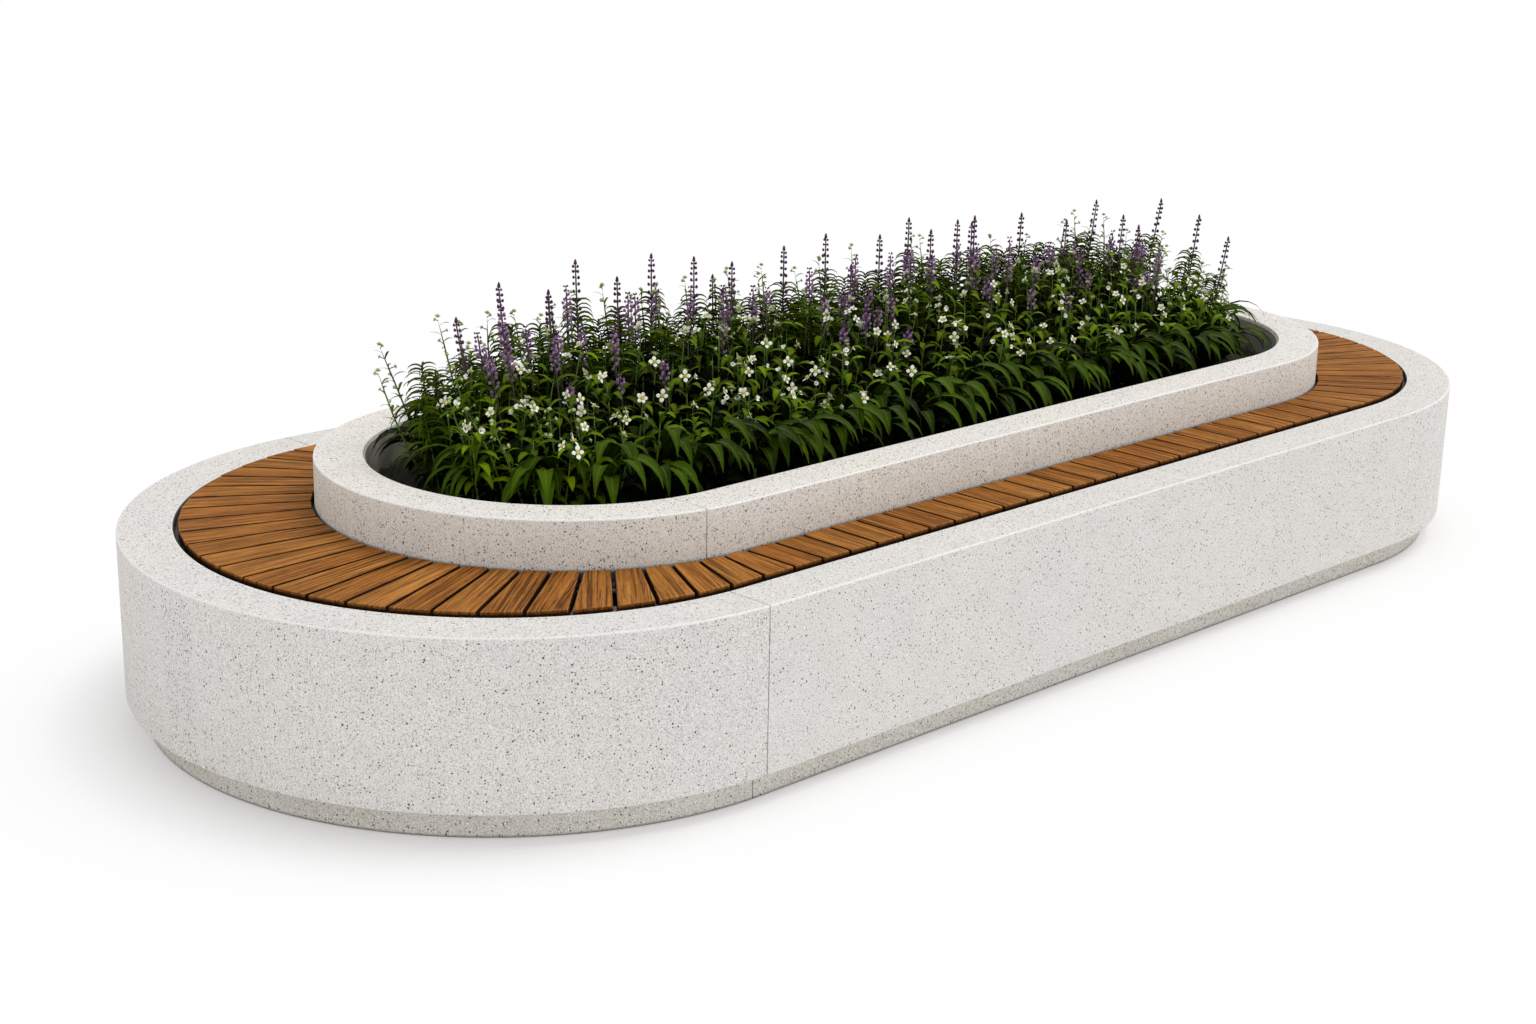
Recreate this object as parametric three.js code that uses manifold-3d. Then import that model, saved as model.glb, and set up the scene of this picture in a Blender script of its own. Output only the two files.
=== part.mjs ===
// Oval bench with a planter in its middle: precast stone-faced walls, a band of hardwood slats
// between the outer wall and the planter wall, and a lined, drained bed of mixed planting.
// Millimetres, +Z up, +X along the bench. The origin is on the ground under the centre.

import * as THREE from 'three';
import { mergeVertices } from 'three/addons/utils/BufferGeometryUtils.js';
import Module from 'manifold-3d';

const wasm = await Module();
wasm.setup();

// Outer wall
const benchLength = 4260;
const benchWidth = 1800;
const rimHeight = 450;
const rimWidth = 126;
const wallArris = 4;

// Recessed plinth under the outer wall
const plinthHeight = 68;
const plinthSetback = 43;
const plinthWidth = 110;

// Seat band between the outer wall and the planter wall
const sideSeatDepth = 173;
const endSeatDepth = 347;
const slatThickness = 28;
const slatProud = 9;
const slatJoint = 9;
const slatRimGap = 10;
const slatPlanterGap = 8;
const slatsPerSide = 24;
const slatsPerEnd = 29;
const endPanelSlats = [10, 9, 10];
const sidePanelSlats = [12, 12];
const strapWidth = 20;
const strapThickness = 5;
const strapRebate = 1;

// Steel angles that carry the slat ends
const outerBearerWidth = 80;
const innerBearerWidth = 36;
const bearerDrop = 50;
const bearerThickness = 6;
const bearerJoint = 3;
const anchorHeadAcross = 19;
const anchorHeadHeight = 8;
const anchorsPerSide = 4;
const anchorsPerEnd = 5;

// Planter wall, its base slab and its liner
const planterHeight = 570;
const planterWallThickness = 116;
const baseThickness = 50;
const baseClearance = 2;
const linerThickness = 4;
const linerTopDrop = 8;

// Drainage, growing medium and plants
const drainageDepth = 80;
const fleeceThickness = 3;
const soilDrop = 95;
const drainBore = 40;
const drainWall = 5;
const drainFlange = 90;
const drainFlangeThickness = 4;
const drainGroundGap = 6;
const drainPitch = 1000;
const drainNames = ['left', 'centre', 'right'];
const plantMargin = 80;
const canopyHeight = 286;
const tallestSpike = 496;
const spikeFootDiameter = 34;
const spikeTipDiameter = 12;
const spikePitch = 115;
const leafBandShare = 0.25;
const flowerBandShare = 0.38;
const plantBandGap = 1;
const canopyAcrossShares = [0.44, 0.75, 0.96, 1, 0.94, 0.84, 0.73, 0.62, 0.44];
const canopyAlongShares = [0.54, 0.98, 1.02, 1.02, 1.02, 1.02, 1.02, 0.98, 0.54];
const spikeRowShares = [0.12, 0.38, 0.24, 0.5];
const spikeHeightShares = [0.9, 0.98, 0.92, 1, 0.86];

// Joints between the cast sections
const wallJointPastStraight = 35;
const planterJointPastStraight = 103;
const jointWidth = 3;
const sealInset = 8;
const dowelDiameter = 24;
const dowelLength = 240;
const dowelEdgeDistance = 90;

// Clearances and fineness
const contactGap = 0.3;
const cutOverrun = 10;
const arcSteps = 32;
const canopySteps = 2;
const roundSteps = 8;
const spikeSides = 5;
const drainSteps = 16;
const anchorSides = 6;

// Plan geometry that follows from the sizes above
const wallRadius = benchWidth / 2;
const wallStraight = (benchLength - benchWidth) / 2;
const wallInnerRadius = wallRadius - rimWidth;
const planterRadius = wallInnerRadius - sideSeatDepth;
const planterStraight = benchLength / 2 - rimWidth - endSeatDepth - planterRadius;
const planterInnerRadius = planterRadius - planterWallThickness;
const slatTop = rimHeight + slatProud;
const slatUnderside = slatTop - slatThickness;
const wallJointX = -(wallStraight + wallJointPastStraight);
const planterJointX = -(planterStraight + planterJointPastStraight);
const linerRadius = planterInnerRadius - contactGap;
const linerInnerRadius = linerRadius - linerThickness;
const fillRadius = linerInnerRadius - contactGap;
const linerFloorTop = baseThickness + linerThickness;
const drainageTop = linerFloorTop + drainageDepth;
const soilBottom = drainageTop + fleeceThickness;
const soilTop = planterHeight - soilDrop;

const finish = {
  stone: { color: 0xd9d6d1, roughness: 0.85, metalness: 0 },
  plinthStone: { color: 0xb9b7ae, roughness: 0.9, metalness: 0 },
  base: { color: 0xa8a6a0, roughness: 0.9, metalness: 0 },
  seal: { color: 0x4a4a48, roughness: 0.8, metalness: 0 },
  wood: { color: 0xa5693c, roughness: 0.55, metalness: 0 },
  galvanised: { color: 0xa9adb0, roughness: 0.45, metalness: 0.9 },
  liner: { color: 0x3a3b3c, roughness: 0.7, metalness: 0 },
  gravel: { color: 0x8d7f70, roughness: 1, metalness: 0 },
  fleece: { color: 0xd0d0cc, roughness: 1, metalness: 0 },
  soil: { color: 0x1e1712, roughness: 1, metalness: 0 },
  pipe: { color: 0x2f2f30, roughness: 0.5, metalness: 0 },
  leaf: { color: 0x3c5c22, roughness: 0.6, metalness: 0 },
  flowerLeaf: { color: 0x5b7a36, roughness: 0.6, metalness: 0 },
  spike: { color: 0x5c4a78, roughness: 0.7, metalness: 0 },
};

const bench = new THREE.Group();

// Turns a closed three.js geometry into a solid that can be joined and cut.
function solid(geometry) {
  const bare = geometry.clone();
  bare.deleteAttribute('normal');
  bare.deleteAttribute('uv');
  const merged = mergeVertices(bare);
  const mesh = new wasm.Mesh({
    numProp: 3,
    vertProperties: new Float32Array(merged.attributes.position.array),
    triVerts: new Uint32Array(merged.index.array),
  });
  return new wasm.Manifold(mesh);
}

function geometryOf(manifold) {
  const mesh = manifold.getMesh();
  const geometry = new THREE.BufferGeometry();
  geometry.setAttribute('position', new THREE.BufferAttribute(mesh.vertProperties, 3));
  geometry.setIndex(new THREE.BufferAttribute(mesh.triVerts, 1));
  geometry.computeVertexNormals();
  return geometry;
}

function addPiece(name, manifold, look) {
  const mesh = new THREE.Mesh(geometryOf(manifold), new THREE.MeshStandardMaterial(look));
  mesh.name = name;
  bench.add(mesh);
}

function joined(solids) {
  return solids.reduce((whole, piece) => whole.add(piece));
}

// Plan outline with straight sides and half-round ends.
function stadium(target, straight, radius) {
  target.absarc(straight, 0, radius, -Math.PI / 2, Math.PI / 2, false);
  target.absarc(-straight, 0, radius, Math.PI / 2, 3 * Math.PI / 2, false);
  return target;
}

// Upright slab of a plan shape between two heights, with an optional arris on its edges.
function slab(shape, bottom, top, arris = 0) {
  const geometry = new THREE.ExtrudeGeometry(shape, {
    depth: top - bottom - 2 * arris,
    curveSegments: arcSteps / 2,
    bevelEnabled: arris > 0,
    bevelThickness: arris,
    bevelSize: arris,
    bevelOffset: -arris,
    bevelSegments: 1,
  });
  geometry.translate(0, 0, bottom + arris);
  return solid(geometry);
}

function stadiumSlab(straight, radius, bottom, top) {
  return slab(stadium(new THREE.Shape(), straight, radius), bottom, top);
}

function stadiumRing(straight, outer, inner, bottom, top, arris = 0) {
  const shape = stadium(new THREE.Shape(), straight, outer);
  shape.holes.push(stadium(new THREE.Path(), straight, inner));
  return slab(shape, bottom, top, arris);
}

// Box given by its low and high corners.
function block(low, high) {
  const size = new THREE.Vector3().subVectors(high, low);
  const geometry = new THREE.BoxGeometry(size.x, size.y, size.z);
  const centre = new THREE.Vector3().addVectors(low, high).multiplyScalar(1 / 2);
  geometry.translate(centre.x, centre.y, centre.z);
  return solid(geometry);
}

// The space of the whole bench between two places along it and two across it.
function region(xLow, xHigh, yLow, yHigh) {
  const top = soilTop + tallestSpike + cutOverrun;
  return block(new THREE.Vector3(xLow, yLow, -cutOverrun), new THREE.Vector3(xHigh, yHigh, top));
}

const reachX = benchLength / 2 + cutOverrun;
const reachY = wallRadius + cutOverrun;

function leftOf(x) {
  return region(-reachX, x, -reachY, reachY);
}

function rightOf(x) {
  return region(x, reachX, -reachY, reachY);
}

// Round bar along X.
function barX(diameter, length, x, y, z) {
  const geometry = new THREE.CylinderGeometry(diameter / 2, diameter / 2, length, roundSteps);
  geometry.rotateZ(Math.PI / 2);
  geometry.translate(x, y, z);
  return solid(geometry);
}

// Cast rings: each is two sections, a short one round the left end and a long one, butted with a
// narrow joint that holds a seal and, in the walls, two dowels.
function castRing({ name, straight, outer, inner, bottom, top, arris, jointX, dowelled, look }) {
  const ring = stadiumRing(straight, outer, inner, bottom, top, arris);
  const past = -jointX - straight;
  const outerY = Math.sqrt(outer ** 2 - past ** 2);
  const innerY = Math.sqrt(inner ** 2 - past ** 2);
  const middleY = (outerY + innerY) / 2;
  const levels = dowelled
    ? { lower: bottom + dowelEdgeDistance, upper: top - dowelEdgeDistance }
    : {};
  const sides = { front: -1, rear: 1 };
  const sockets = [];
  for (const [side, sign] of Object.entries(sides)) {
    const halfSeal = jointWidth / 2 - contactGap;
    const halfDepth = (outerY - innerY) / 2 - sealInset;
    const seat = new THREE.Vector3(jointX, sign * middleY, 0);
    let seal = block(
      new THREE.Vector3(seat.x - halfSeal, seat.y - halfDepth, bottom + contactGap),
      new THREE.Vector3(seat.x + halfSeal, seat.y + halfDepth, top - sealInset),
    );
    for (const [level, z] of Object.entries(levels)) {
      const socketSize = dowelDiameter + 2 * contactGap;
      const socket = barX(socketSize, dowelLength + 2 * contactGap, seat.x, seat.y, z);
      sockets.push(socket);
      seal = seal.subtract(socket);
      const dowel = barX(dowelDiameter, dowelLength, seat.x, seat.y, z);
      addPiece(`${name}_dowel_${side}_${level}`, dowel, finish.galvanised);
    }
    addPiece(`${name}_joint_seal_${side}`, seal, finish.seal);
  }
  const bored = sockets.length > 0 ? ring.subtract(joined(sockets)) : ring;
  addPiece(`${name}_left_end`, bored.intersect(leftOf(jointX - jointWidth / 2)), look);
  addPiece(`${name}_long_section`, bored.intersect(rightOf(jointX + jointWidth / 2)), look);
}

castRing({
  name: 'plinth',
  straight: wallStraight,
  outer: wallRadius - plinthSetback,
  inner: wallRadius - plinthSetback - plinthWidth,
  bottom: 0,
  top: plinthHeight,
  arris: 0,
  jointX: wallJointX,
  dowelled: false,
  look: finish.plinthStone,
});

castRing({
  name: 'wall',
  straight: wallStraight,
  outer: wallRadius,
  inner: wallInnerRadius,
  bottom: plinthHeight,
  top: rimHeight,
  arris: wallArris,
  jointX: wallJointX,
  dowelled: true,
  look: finish.stone,
});

castRing({
  name: 'planter_wall',
  straight: planterStraight,
  outer: planterRadius,
  inner: planterInnerRadius,
  bottom: 0,
  top: planterHeight,
  arris: wallArris,
  jointX: planterJointX,
  dowelled: true,
  look: finish.stone,
});

// Bearer angles: a flat leg under the slat ends and an upright leg fixed to a wall by anchors.
// facing is 1 where the wall is outside the angle and -1 where the wall is inside it.
function anchorHead(x, y, inward) {
  const geometry = new THREE.CylinderGeometry(
    anchorHeadAcross / 2, anchorHeadAcross / 2, anchorHeadHeight + bearerThickness / 2, anchorSides);
  const lie = new THREE.Quaternion().setFromUnitVectors(new THREE.Vector3(0, 1, 0), inward);
  geometry.applyQuaternion(lie);
  const reach = (anchorHeadHeight + bearerThickness / 2) / 2 + bearerThickness / 2;
  const z = slatUnderside - bearerThickness - (bearerDrop - bearerThickness) / 2;
  geometry.translate(x + inward.x * reach, y + inward.y * reach, z);
  return solid(geometry);
}

function bearerRing(straight, wallFace, facing, width) {
  const back = wallFace - facing * contactGap;
  const toe = back - facing * width;
  const heel = back - facing * bearerThickness;
  const band = (a, b, bottom, top) =>
    stadiumRing(straight, Math.max(a, b), Math.min(a, b), bottom, top);
  const flat = band(back, toe, slatUnderside - bearerThickness, slatUnderside);
  const upright = band(back, heel, slatUnderside - bearerDrop, slatUnderside - bearerThickness / 2);
  const heads = [];
  for (let i = 0; i < anchorsPerSide; i += 1) {
    const x = straight * ((2 * i + 1) / anchorsPerSide - 1);
    for (const sign of [-1, 1]) {
      heads.push(anchorHead(x, sign * back, new THREE.Vector3(0, -sign * facing, 0)));
    }
  }
  for (let i = 0; i < anchorsPerEnd; i += 1) {
    const angle = Math.PI * ((i + 1 / 2) / anchorsPerEnd - 1 / 2);
    const outward = new THREE.Vector3(Math.cos(angle), Math.sin(angle), 0);
    for (const end of [-1, 1]) {
      const inward = new THREE.Vector3(-end * outward.x * facing, -outward.y * facing, 0);
      heads.push(anchorHead(end * (straight + back * outward.x), back * outward.y, inward));
    }
  }
  return joined([flat, upright, ...heads]);
}

function addBearers(name, straight, ring) {
  const cut = straight - bearerJoint / 2;
  const past = straight + bearerJoint / 2;
  const places = {
    left_end: leftOf(-past),
    right_end: rightOf(past),
    front: region(-cut, cut, -reachY, 0),
    rear: region(-cut, cut, 0, reachY),
  };
  for (const [place, space] of Object.entries(places)) {
    addPiece(`${name}_${place}`, ring.intersect(space), finish.galvanised);
  }
}

addBearers('outer_bearer', wallStraight,
  bearerRing(wallStraight, wallInnerRadius, 1, outerBearerWidth));
addBearers('inner_bearer', planterStraight,
  bearerRing(planterStraight, planterRadius, -1, innerBearerWidth));

// Slats: on the sides they lie square to the bench, and round each end they fan out, with their
// joints at equal steps along both the wall and the planter.
const slatOuterRadius = wallInnerRadius - slatRimGap;
const slatInnerRadius = planterRadius + slatPlanterGap;

// Place at a distance along a quarter of a stadium, from the middle of its straight to its tip.
function alongQuarter(straight, radius, distance) {
  if (distance <= straight) {
    return new THREE.Vector2(distance, radius);
  }
  const angle = (distance - straight) / radius;
  return new THREE.Vector2(straight + radius * Math.sin(angle), radius * Math.cos(angle));
}

// Joint line of the fan at a share of its sweep: 0 at the rear side, 1 at the front side.
function fanLine(end, share) {
  const sign = share <= 1 / 2 ? 1 : -1;
  const toTip = 1 - Math.abs(2 * share - 1);
  const outerReach = wallStraight - planterStraight + slatOuterRadius * Math.PI / 2;
  const innerReach = slatInnerRadius * Math.PI / 2;
  const outer = alongQuarter(wallStraight, slatOuterRadius, planterStraight + toTip * outerReach);
  const inner = alongQuarter(planterStraight, slatInnerRadius, planterStraight + toTip * innerReach);
  const turned = (point) => new THREE.Vector2(end * point.x, sign * point.y);
  return { outer: turned(outer), inner: turned(inner) };
}

function sideLine(side, share) {
  const x = planterStraight * (2 * share - 1);
  return {
    outer: new THREE.Vector2(x, side * slatOuterRadius),
    inner: new THREE.Vector2(x, side * slatInnerRadius),
  };
}

// Moves a joint line sideways by half a joint, towards the slat that it bounds.
function besideJoint(line, towards) {
  const along = new THREE.Vector2().subVectors(line.outer, line.inner).normalize();
  const across = new THREE.Vector2(-along.y, along.x);
  const middle = new THREE.Vector2().addVectors(line.outer, line.inner).multiplyScalar(1 / 2);
  const side = Math.sign(across.dot(new THREE.Vector2().subVectors(towards, middle)));
  const step = across.multiplyScalar(side * slatJoint / 2);
  return { outer: line.outer.clone().add(step), inner: line.inner.clone().add(step) };
}

function slatPlan(first, second) {
  const corners = [first.outer, first.inner, second.outer, second.inner];
  const centre = corners.reduce((sum, corner) => sum.add(corner), new THREE.Vector2());
  centre.multiplyScalar(1 / corners.length);
  return [besideJoint(first, centre), besideJoint(second, centre)];
}

function plate(points, bottom, top) {
  const shape = new THREE.Shape(THREE.ShapeUtils.isClockWise(points) ? [...points].reverse() : points);
  return slab(shape, bottom, top);
}

// A point on a joint line at a distance from its planter end.
function fromPlanter(line, distance) {
  const along = new THREE.Vector2().subVectors(line.outer, line.inner).normalize();
  return line.inner.clone().addScaledVector(along, distance);
}

// Slats from one joint to another as a panel, tied by a strap in a shallow rebate underneath.
function seatPanel(lines) {
  const clearWidth = sideSeatDepth - outerBearerWidth - innerBearerWidth - 2 * contactGap;
  const strapNear = innerBearerWidth + contactGap + (clearWidth - strapWidth) / 2 - slatPlanterGap;
  const near = [];
  const far = [];
  const slats = [];
  for (let i = 0; i + 1 < lines.length; i += 1) {
    const edges = slatPlan(lines[i], lines[i + 1]);
    const [a, b] = edges;
    slats.push(plate([a.outer, b.outer, b.inner, a.inner], slatUnderside, slatTop));
    for (const edge of edges) {
      near.push(fromPlanter(edge, strapNear));
      far.push(fromPlanter(edge, strapNear + strapWidth));
    }
  }
  const strap = plate([...near, ...far.reverse()],
    slatUnderside - strapThickness + strapRebate, slatUnderside + strapRebate);
  return joined([...slats, strap]);
}

function addPanels(names, counts, total, lineAt) {
  let start = 0;
  names.forEach((name, index) => {
    const lines = [];
    for (let i = start; i <= start + counts[index]; i += 1) {
      lines.push(lineAt(i / total));
    }
    start += counts[index];
    addPiece(name, seatPanel(lines), finish.wood);
  });
}

for (const [end, sign] of Object.entries({ left: -1, right: 1 })) {
  const names = ['rear', 'centre', 'front'].map((place) => `seat_panel_${end}_end_${place}`);
  addPanels(names, endPanelSlats, slatsPerEnd, (share) => fanLine(sign, share));
}
for (const [side, sign] of Object.entries({ front: -1, rear: 1 })) {
  const names = ['left', 'right'].map((place) => `seat_panel_${side}_${place}`);
  addPanels(names, sidePanelSlats, slatsPerSide, (share) => sideLine(sign, share));
}

// Base slab, liner and drain outlets
const drainOuter = drainBore + 2 * drainWall;

function upright(diameter, bottom, top, x) {
  const geometry = new THREE.CylinderGeometry(diameter / 2, diameter / 2, top - bottom, drainSteps);
  geometry.rotateX(Math.PI / 2);
  geometry.translate(x, 0, (bottom + top) / 2);
  return solid(geometry);
}

const drainPlaces = drainNames.map((name, index) => ({
  name,
  x: (index - (drainNames.length - 1) / 2) * drainPitch,
}));
const drainHoles = joined(drainPlaces.map(({ x }) =>
  upright(drainOuter + 2 * contactGap, -cutOverrun, linerFloorTop + cutOverrun, x)));
const flangeRecesses = joined(drainPlaces.map(({ x }) =>
  upright(drainFlange + 2 * contactGap, linerFloorTop - cutOverrun,
    linerFloorTop + drainFlangeThickness + contactGap, x)));

addPiece('planter_base',
  stadiumSlab(planterStraight, planterInnerRadius - baseClearance, 0, baseThickness)
    .subtract(drainHoles), finish.base);

addPiece('planter_liner',
  stadiumSlab(planterStraight, linerRadius, baseThickness, planterHeight - linerTopDrop)
    .subtract(stadiumSlab(planterStraight, linerInnerRadius, linerFloorTop, planterHeight))
    .subtract(drainHoles), finish.liner);

for (const { name, x } of drainPlaces) {
  const bore = drainBore / 2;
  const tube = drainOuter / 2;
  const flange = drainFlange / 2;
  const top = linerFloorTop + drainFlangeThickness;
  const profile = [
    new THREE.Vector2(bore, drainGroundGap),
    new THREE.Vector2(tube, drainGroundGap),
    new THREE.Vector2(tube, linerFloorTop),
    new THREE.Vector2(flange, linerFloorTop),
    new THREE.Vector2(flange, top),
    new THREE.Vector2(bore, top),
    new THREE.Vector2(bore, drainGroundGap),
  ];
  const geometry = new THREE.LatheGeometry(profile, drainSteps);
  geometry.rotateX(Math.PI / 2);
  geometry.translate(x, 0, 0);
  addPiece(`drain_outlet_${name}`, solid(geometry), finish.pipe);
}

// Fill, from the liner's floor up
addPiece('drainage_layer',
  stadiumSlab(planterStraight, fillRadius, linerFloorTop, drainageTop)
    .subtract(flangeRecesses), finish.gravel);
addPiece('filter_fleece',
  stadiumSlab(planterStraight, fillRadius, drainageTop, soilBottom), finish.fleece);
addPiece('soil', stadiumSlab(planterStraight, fillRadius, soilBottom, soilTop), finish.soil);

// Planting: one mound of leaves, highest a little behind its middle, in three bands
const plantRadius = linerInnerRadius - plantMargin;
const plantReach = planterStraight + plantRadius;
const leafBandEdge = 2 * plantRadius * leafBandShare - plantRadius;
const flowerBandEdge = leafBandEdge + 2 * plantRadius * flowerBandShare;
const spikeCount = Math.floor((plantReach + planterStraight) / spikePitch);

// Space under a line of heights above the soil, at even steps from the high end of an axis to its
// low end, swept square to that axis.
function spaceUnder(heightShares, reach, sweep) {
  const last = heightShares.length - 1;
  const tops = heightShares.map((share, index) =>
    new THREE.Vector2(reach * (1 - 2 * index / last), canopyHeight * share));
  const shape = new THREE.Shape();
  shape.moveTo(-reach, contactGap);
  shape.lineTo(reach, contactGap);
  shape.lineTo(tops[0].x, tops[0].y);
  shape.splineThru(tops.slice(1));
  const geometry = new THREE.ExtrudeGeometry(shape, {
    depth: 2 * sweep,
    curveSegments: canopySteps,
    bevelEnabled: false,
  });
  geometry.translate(0, 0, -sweep);
  geometry.rotateX(Math.PI / 2);
  geometry.translate(0, 0, soilTop);
  return geometry;
}

const across = spaceUnder(canopyAcrossShares, plantRadius, reachX);
across.rotateZ(Math.PI / 2);
const along = spaceUnder(canopyAlongShares, plantReach, reachY);
const mound = stadiumSlab(planterStraight, plantRadius, soilTop, soilTop + tallestSpike)
  .intersect(solid(across))
  .intersect(solid(along));

function plantBand(yLow, yHigh) {
  return mound.intersect(region(-reachX, reachX, yLow, yHigh));
}

addPiece('strap_leaf_planting',
  plantBand(-reachY, leafBandEdge - plantBandGap / 2), finish.leaf);
addPiece('white_flower_planting',
  plantBand(leafBandEdge + plantBandGap / 2, flowerBandEdge - plantBandGap / 2),
  finish.flowerLeaf);

// The flower spikes stand up out of the rear band.
const spikeBandLow = flowerBandEdge + plantBandGap / 2;
const spikes = [];
for (let i = 0; i < spikeCount; i += 1) {
  const height = tallestSpike * spikeHeightShares[i % spikeHeightShares.length];
  const row = spikeRowShares[i % spikeRowShares.length];
  const spike = new THREE.CylinderGeometry(
    spikeTipDiameter / 2, spikeFootDiameter / 2, height - contactGap, spikeSides);
  spike.rotateX(Math.PI / 2);
  spike.translate((i - (spikeCount - 1) / 2) * spikePitch,
    spikeBandLow + (plantRadius - spikeBandLow) * row,
    soilTop + contactGap + (height - contactGap) / 2);
  spikes.push(solid(spike));
}
addPiece('purple_spike_planting', joined([plantBand(spikeBandLow, reachY), ...spikes]),
  finish.spike);

export default bench;
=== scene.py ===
"""Oval cast stone bench with a fanned slat seat and a planted bed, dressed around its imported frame.

Metres, +Z up, +X along the bench, -Y towards the front.
"""

import math
import random
from collections import defaultdict, namedtuple
from functools import cache

import bmesh
import bpy
from bmesh.types import BMEdge, BMVert
from bpy.props import FloatProperty, IntProperty, PointerProperty
from mathutils import Matrix, Vector, noise


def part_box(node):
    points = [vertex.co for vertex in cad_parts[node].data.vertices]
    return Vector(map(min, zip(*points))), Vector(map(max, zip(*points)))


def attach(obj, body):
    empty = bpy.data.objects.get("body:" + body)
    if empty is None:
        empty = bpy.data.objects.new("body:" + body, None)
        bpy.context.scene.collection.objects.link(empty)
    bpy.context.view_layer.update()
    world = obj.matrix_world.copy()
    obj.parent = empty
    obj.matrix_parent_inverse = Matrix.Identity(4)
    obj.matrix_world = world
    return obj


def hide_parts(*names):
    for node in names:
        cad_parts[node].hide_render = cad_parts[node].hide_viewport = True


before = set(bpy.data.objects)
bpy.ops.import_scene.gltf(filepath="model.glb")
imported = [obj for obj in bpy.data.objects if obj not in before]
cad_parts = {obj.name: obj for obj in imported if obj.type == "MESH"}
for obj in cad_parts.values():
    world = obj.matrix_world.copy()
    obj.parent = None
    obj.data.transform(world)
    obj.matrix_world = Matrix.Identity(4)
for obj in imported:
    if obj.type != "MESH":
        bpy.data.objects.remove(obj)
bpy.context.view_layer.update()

bl_info = {
    "name": "Bench with Planter",
    "version": (1, 0, 0),
    "blender": (4, 5, 0),
    "location": "3D View > Sidebar > Bench",
    "description": "Builds an oval cast stone bench with a slat seat and a planted bed",
    "category": "Add Mesh",
}

# Plan and heights of the bench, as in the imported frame
WALL_RADIUS = 0.9
WALL_STRAIGHT = 1.23
WALL_INNER_RADIUS = 0.774
PLANTER_RADIUS = 0.601
PLANTER_STRAIGHT = 1.057
PLANTER_INNER_RADIUS = 0.485
PLINTH_RADIUS = 0.857
CONTACT_GAP = 0.0003
SLAT_OUTER_RADIUS = WALL_INNER_RADIUS - 0.01
SLAT_INNER_RADIUS = PLANTER_RADIUS + 0.008
SLAT_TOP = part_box("seat_panel_front_left")[1].z
SLAT_THICKNESS = 0.028
SLAT_UNDERSIDE = SLAT_TOP - SLAT_THICKNESS
STRAP_START = 0.0465
STRAP_WIDTH = 0.02
STRAP_THICKNESS = 0.004
SCREW_HEAD_DEPTH = 0.002
DOWEL_DIAMETER = 0.024
DOWEL_LENGTH = 0.24
DOWEL_EDGE_DISTANCE = 0.09
LINER_RADIUS = PLANTER_INNER_RADIUS - CONTACT_GAP
LINER_THICKNESS = 0.004
LINER_BOTTOM, LINER_TOP = (corner.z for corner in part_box("planter_liner"))
SOIL_RADIUS = LINER_RADIUS - LINER_THICKNESS - CONTACT_GAP
SOIL_BOTTOM, SOIL_TOP = (corner.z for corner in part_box("soil"))
BED_RADIUS = 0.4807
DRAIN_PLACES = (-1.0, 0.0, 1.0)
DRAIN_HOLE_RADIUS = 0.0253

# Angles in radians: corners to round, creases to keep sharp, step between the leaves of a stem
CORNER_ANGLE = 1.2
CREASE_ANGLE = math.radians(25)
GOLDEN_ANGLE = 2.4
FULL_TURN = 6.28

# Soil and planting
SOIL_LUMP = 0.004
SOIL_CRUMBS = 1500
PLANT_FOOT = SOIL_TOP - 0.005
CROWN_FOOT = SOIL_TOP - 0.006
PLANTED_RADIUS = 0.36
MIDDLE_THIRD_END = 0.45
GRASSY_START = PLANTER_STRAIGHT + 0.25
CANOPY_TOP = 0.355
UNDERGROWTH_LEAVES = 2800
JITTER_SHARE = 0.36
ROW_SHARE = 0.87

Ring = namedtuple("Ring", "straight outer inner joint dowelled slot finish")
RINGS = {
    "plinth": Ring(
        WALL_STRAIGHT, PLINTH_RADIUS, 0.747, -1.265, False, "plinth_stone", "plinth_stone"),
    "wall": Ring(
        WALL_STRAIGHT, WALL_RADIUS, WALL_INNER_RADIUS, -1.265, True, "stone", "stone"),
    "planter_wall": Ring(
        PLANTER_STRAIGHT, PLANTER_RADIUS, PLANTER_INNER_RADIUS, -1.16, True, "stone",
        "planter_stone"),
}

# Tips of the tall budded stems: along, across, height
TALL_TIPS = [
    (-1.312, 0.100, 0.901), (-1.131, 0.170, 0.950), (-1.021, 0.120, 0.927),
    (-0.853, 0.220, 0.966), (-0.778, 0.150, 0.925), (-0.585, 0.240, 0.948),
    (-0.483, 0.190, 0.936), (-0.405, 0.130, 0.922), (-0.127, 0.220, 0.920),
    (0.075, 0.260, 0.926), (-0.033, 0.060, 0.882), (0.207, 0.180, 0.920),
    (0.425, 0.270, 0.933), (0.374, 0.140, 0.922), (0.603, 0.240, 0.913),
    (0.513, 0.100, 0.952), (0.844, 0.200, 0.914), (0.868, 0.050, 0.910),
    (1.242, 0.230, 0.910), (1.128, 0.040, 0.900), (1.071, -0.060, 0.889),
    (1.426, 0.120, 0.910), (1.318, -0.100, 0.899), (1.406, -0.150, 0.830),
]

# Camera: place, focal length and sensor width in millimetres, and angles in radians
EYE = (-4.48290, -4.12916, 2.00869)
FOCAL_LENGTH = 54.397
SENSOR_WIDTH = 36
YAW, PITCH, ROLL = 0.781459, 0.289211, 0.019497


# Materials


def linear(colour):
    """Scene colour of a screen colour given as 0 to 255 numbers."""
    shares = [level / 255 for level in colour]
    return (*(share / 12.92 if share <= 0.04045 else ((share + 0.055) / 1.055) ** 2.4
              for share in shares), 1.0)


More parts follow.
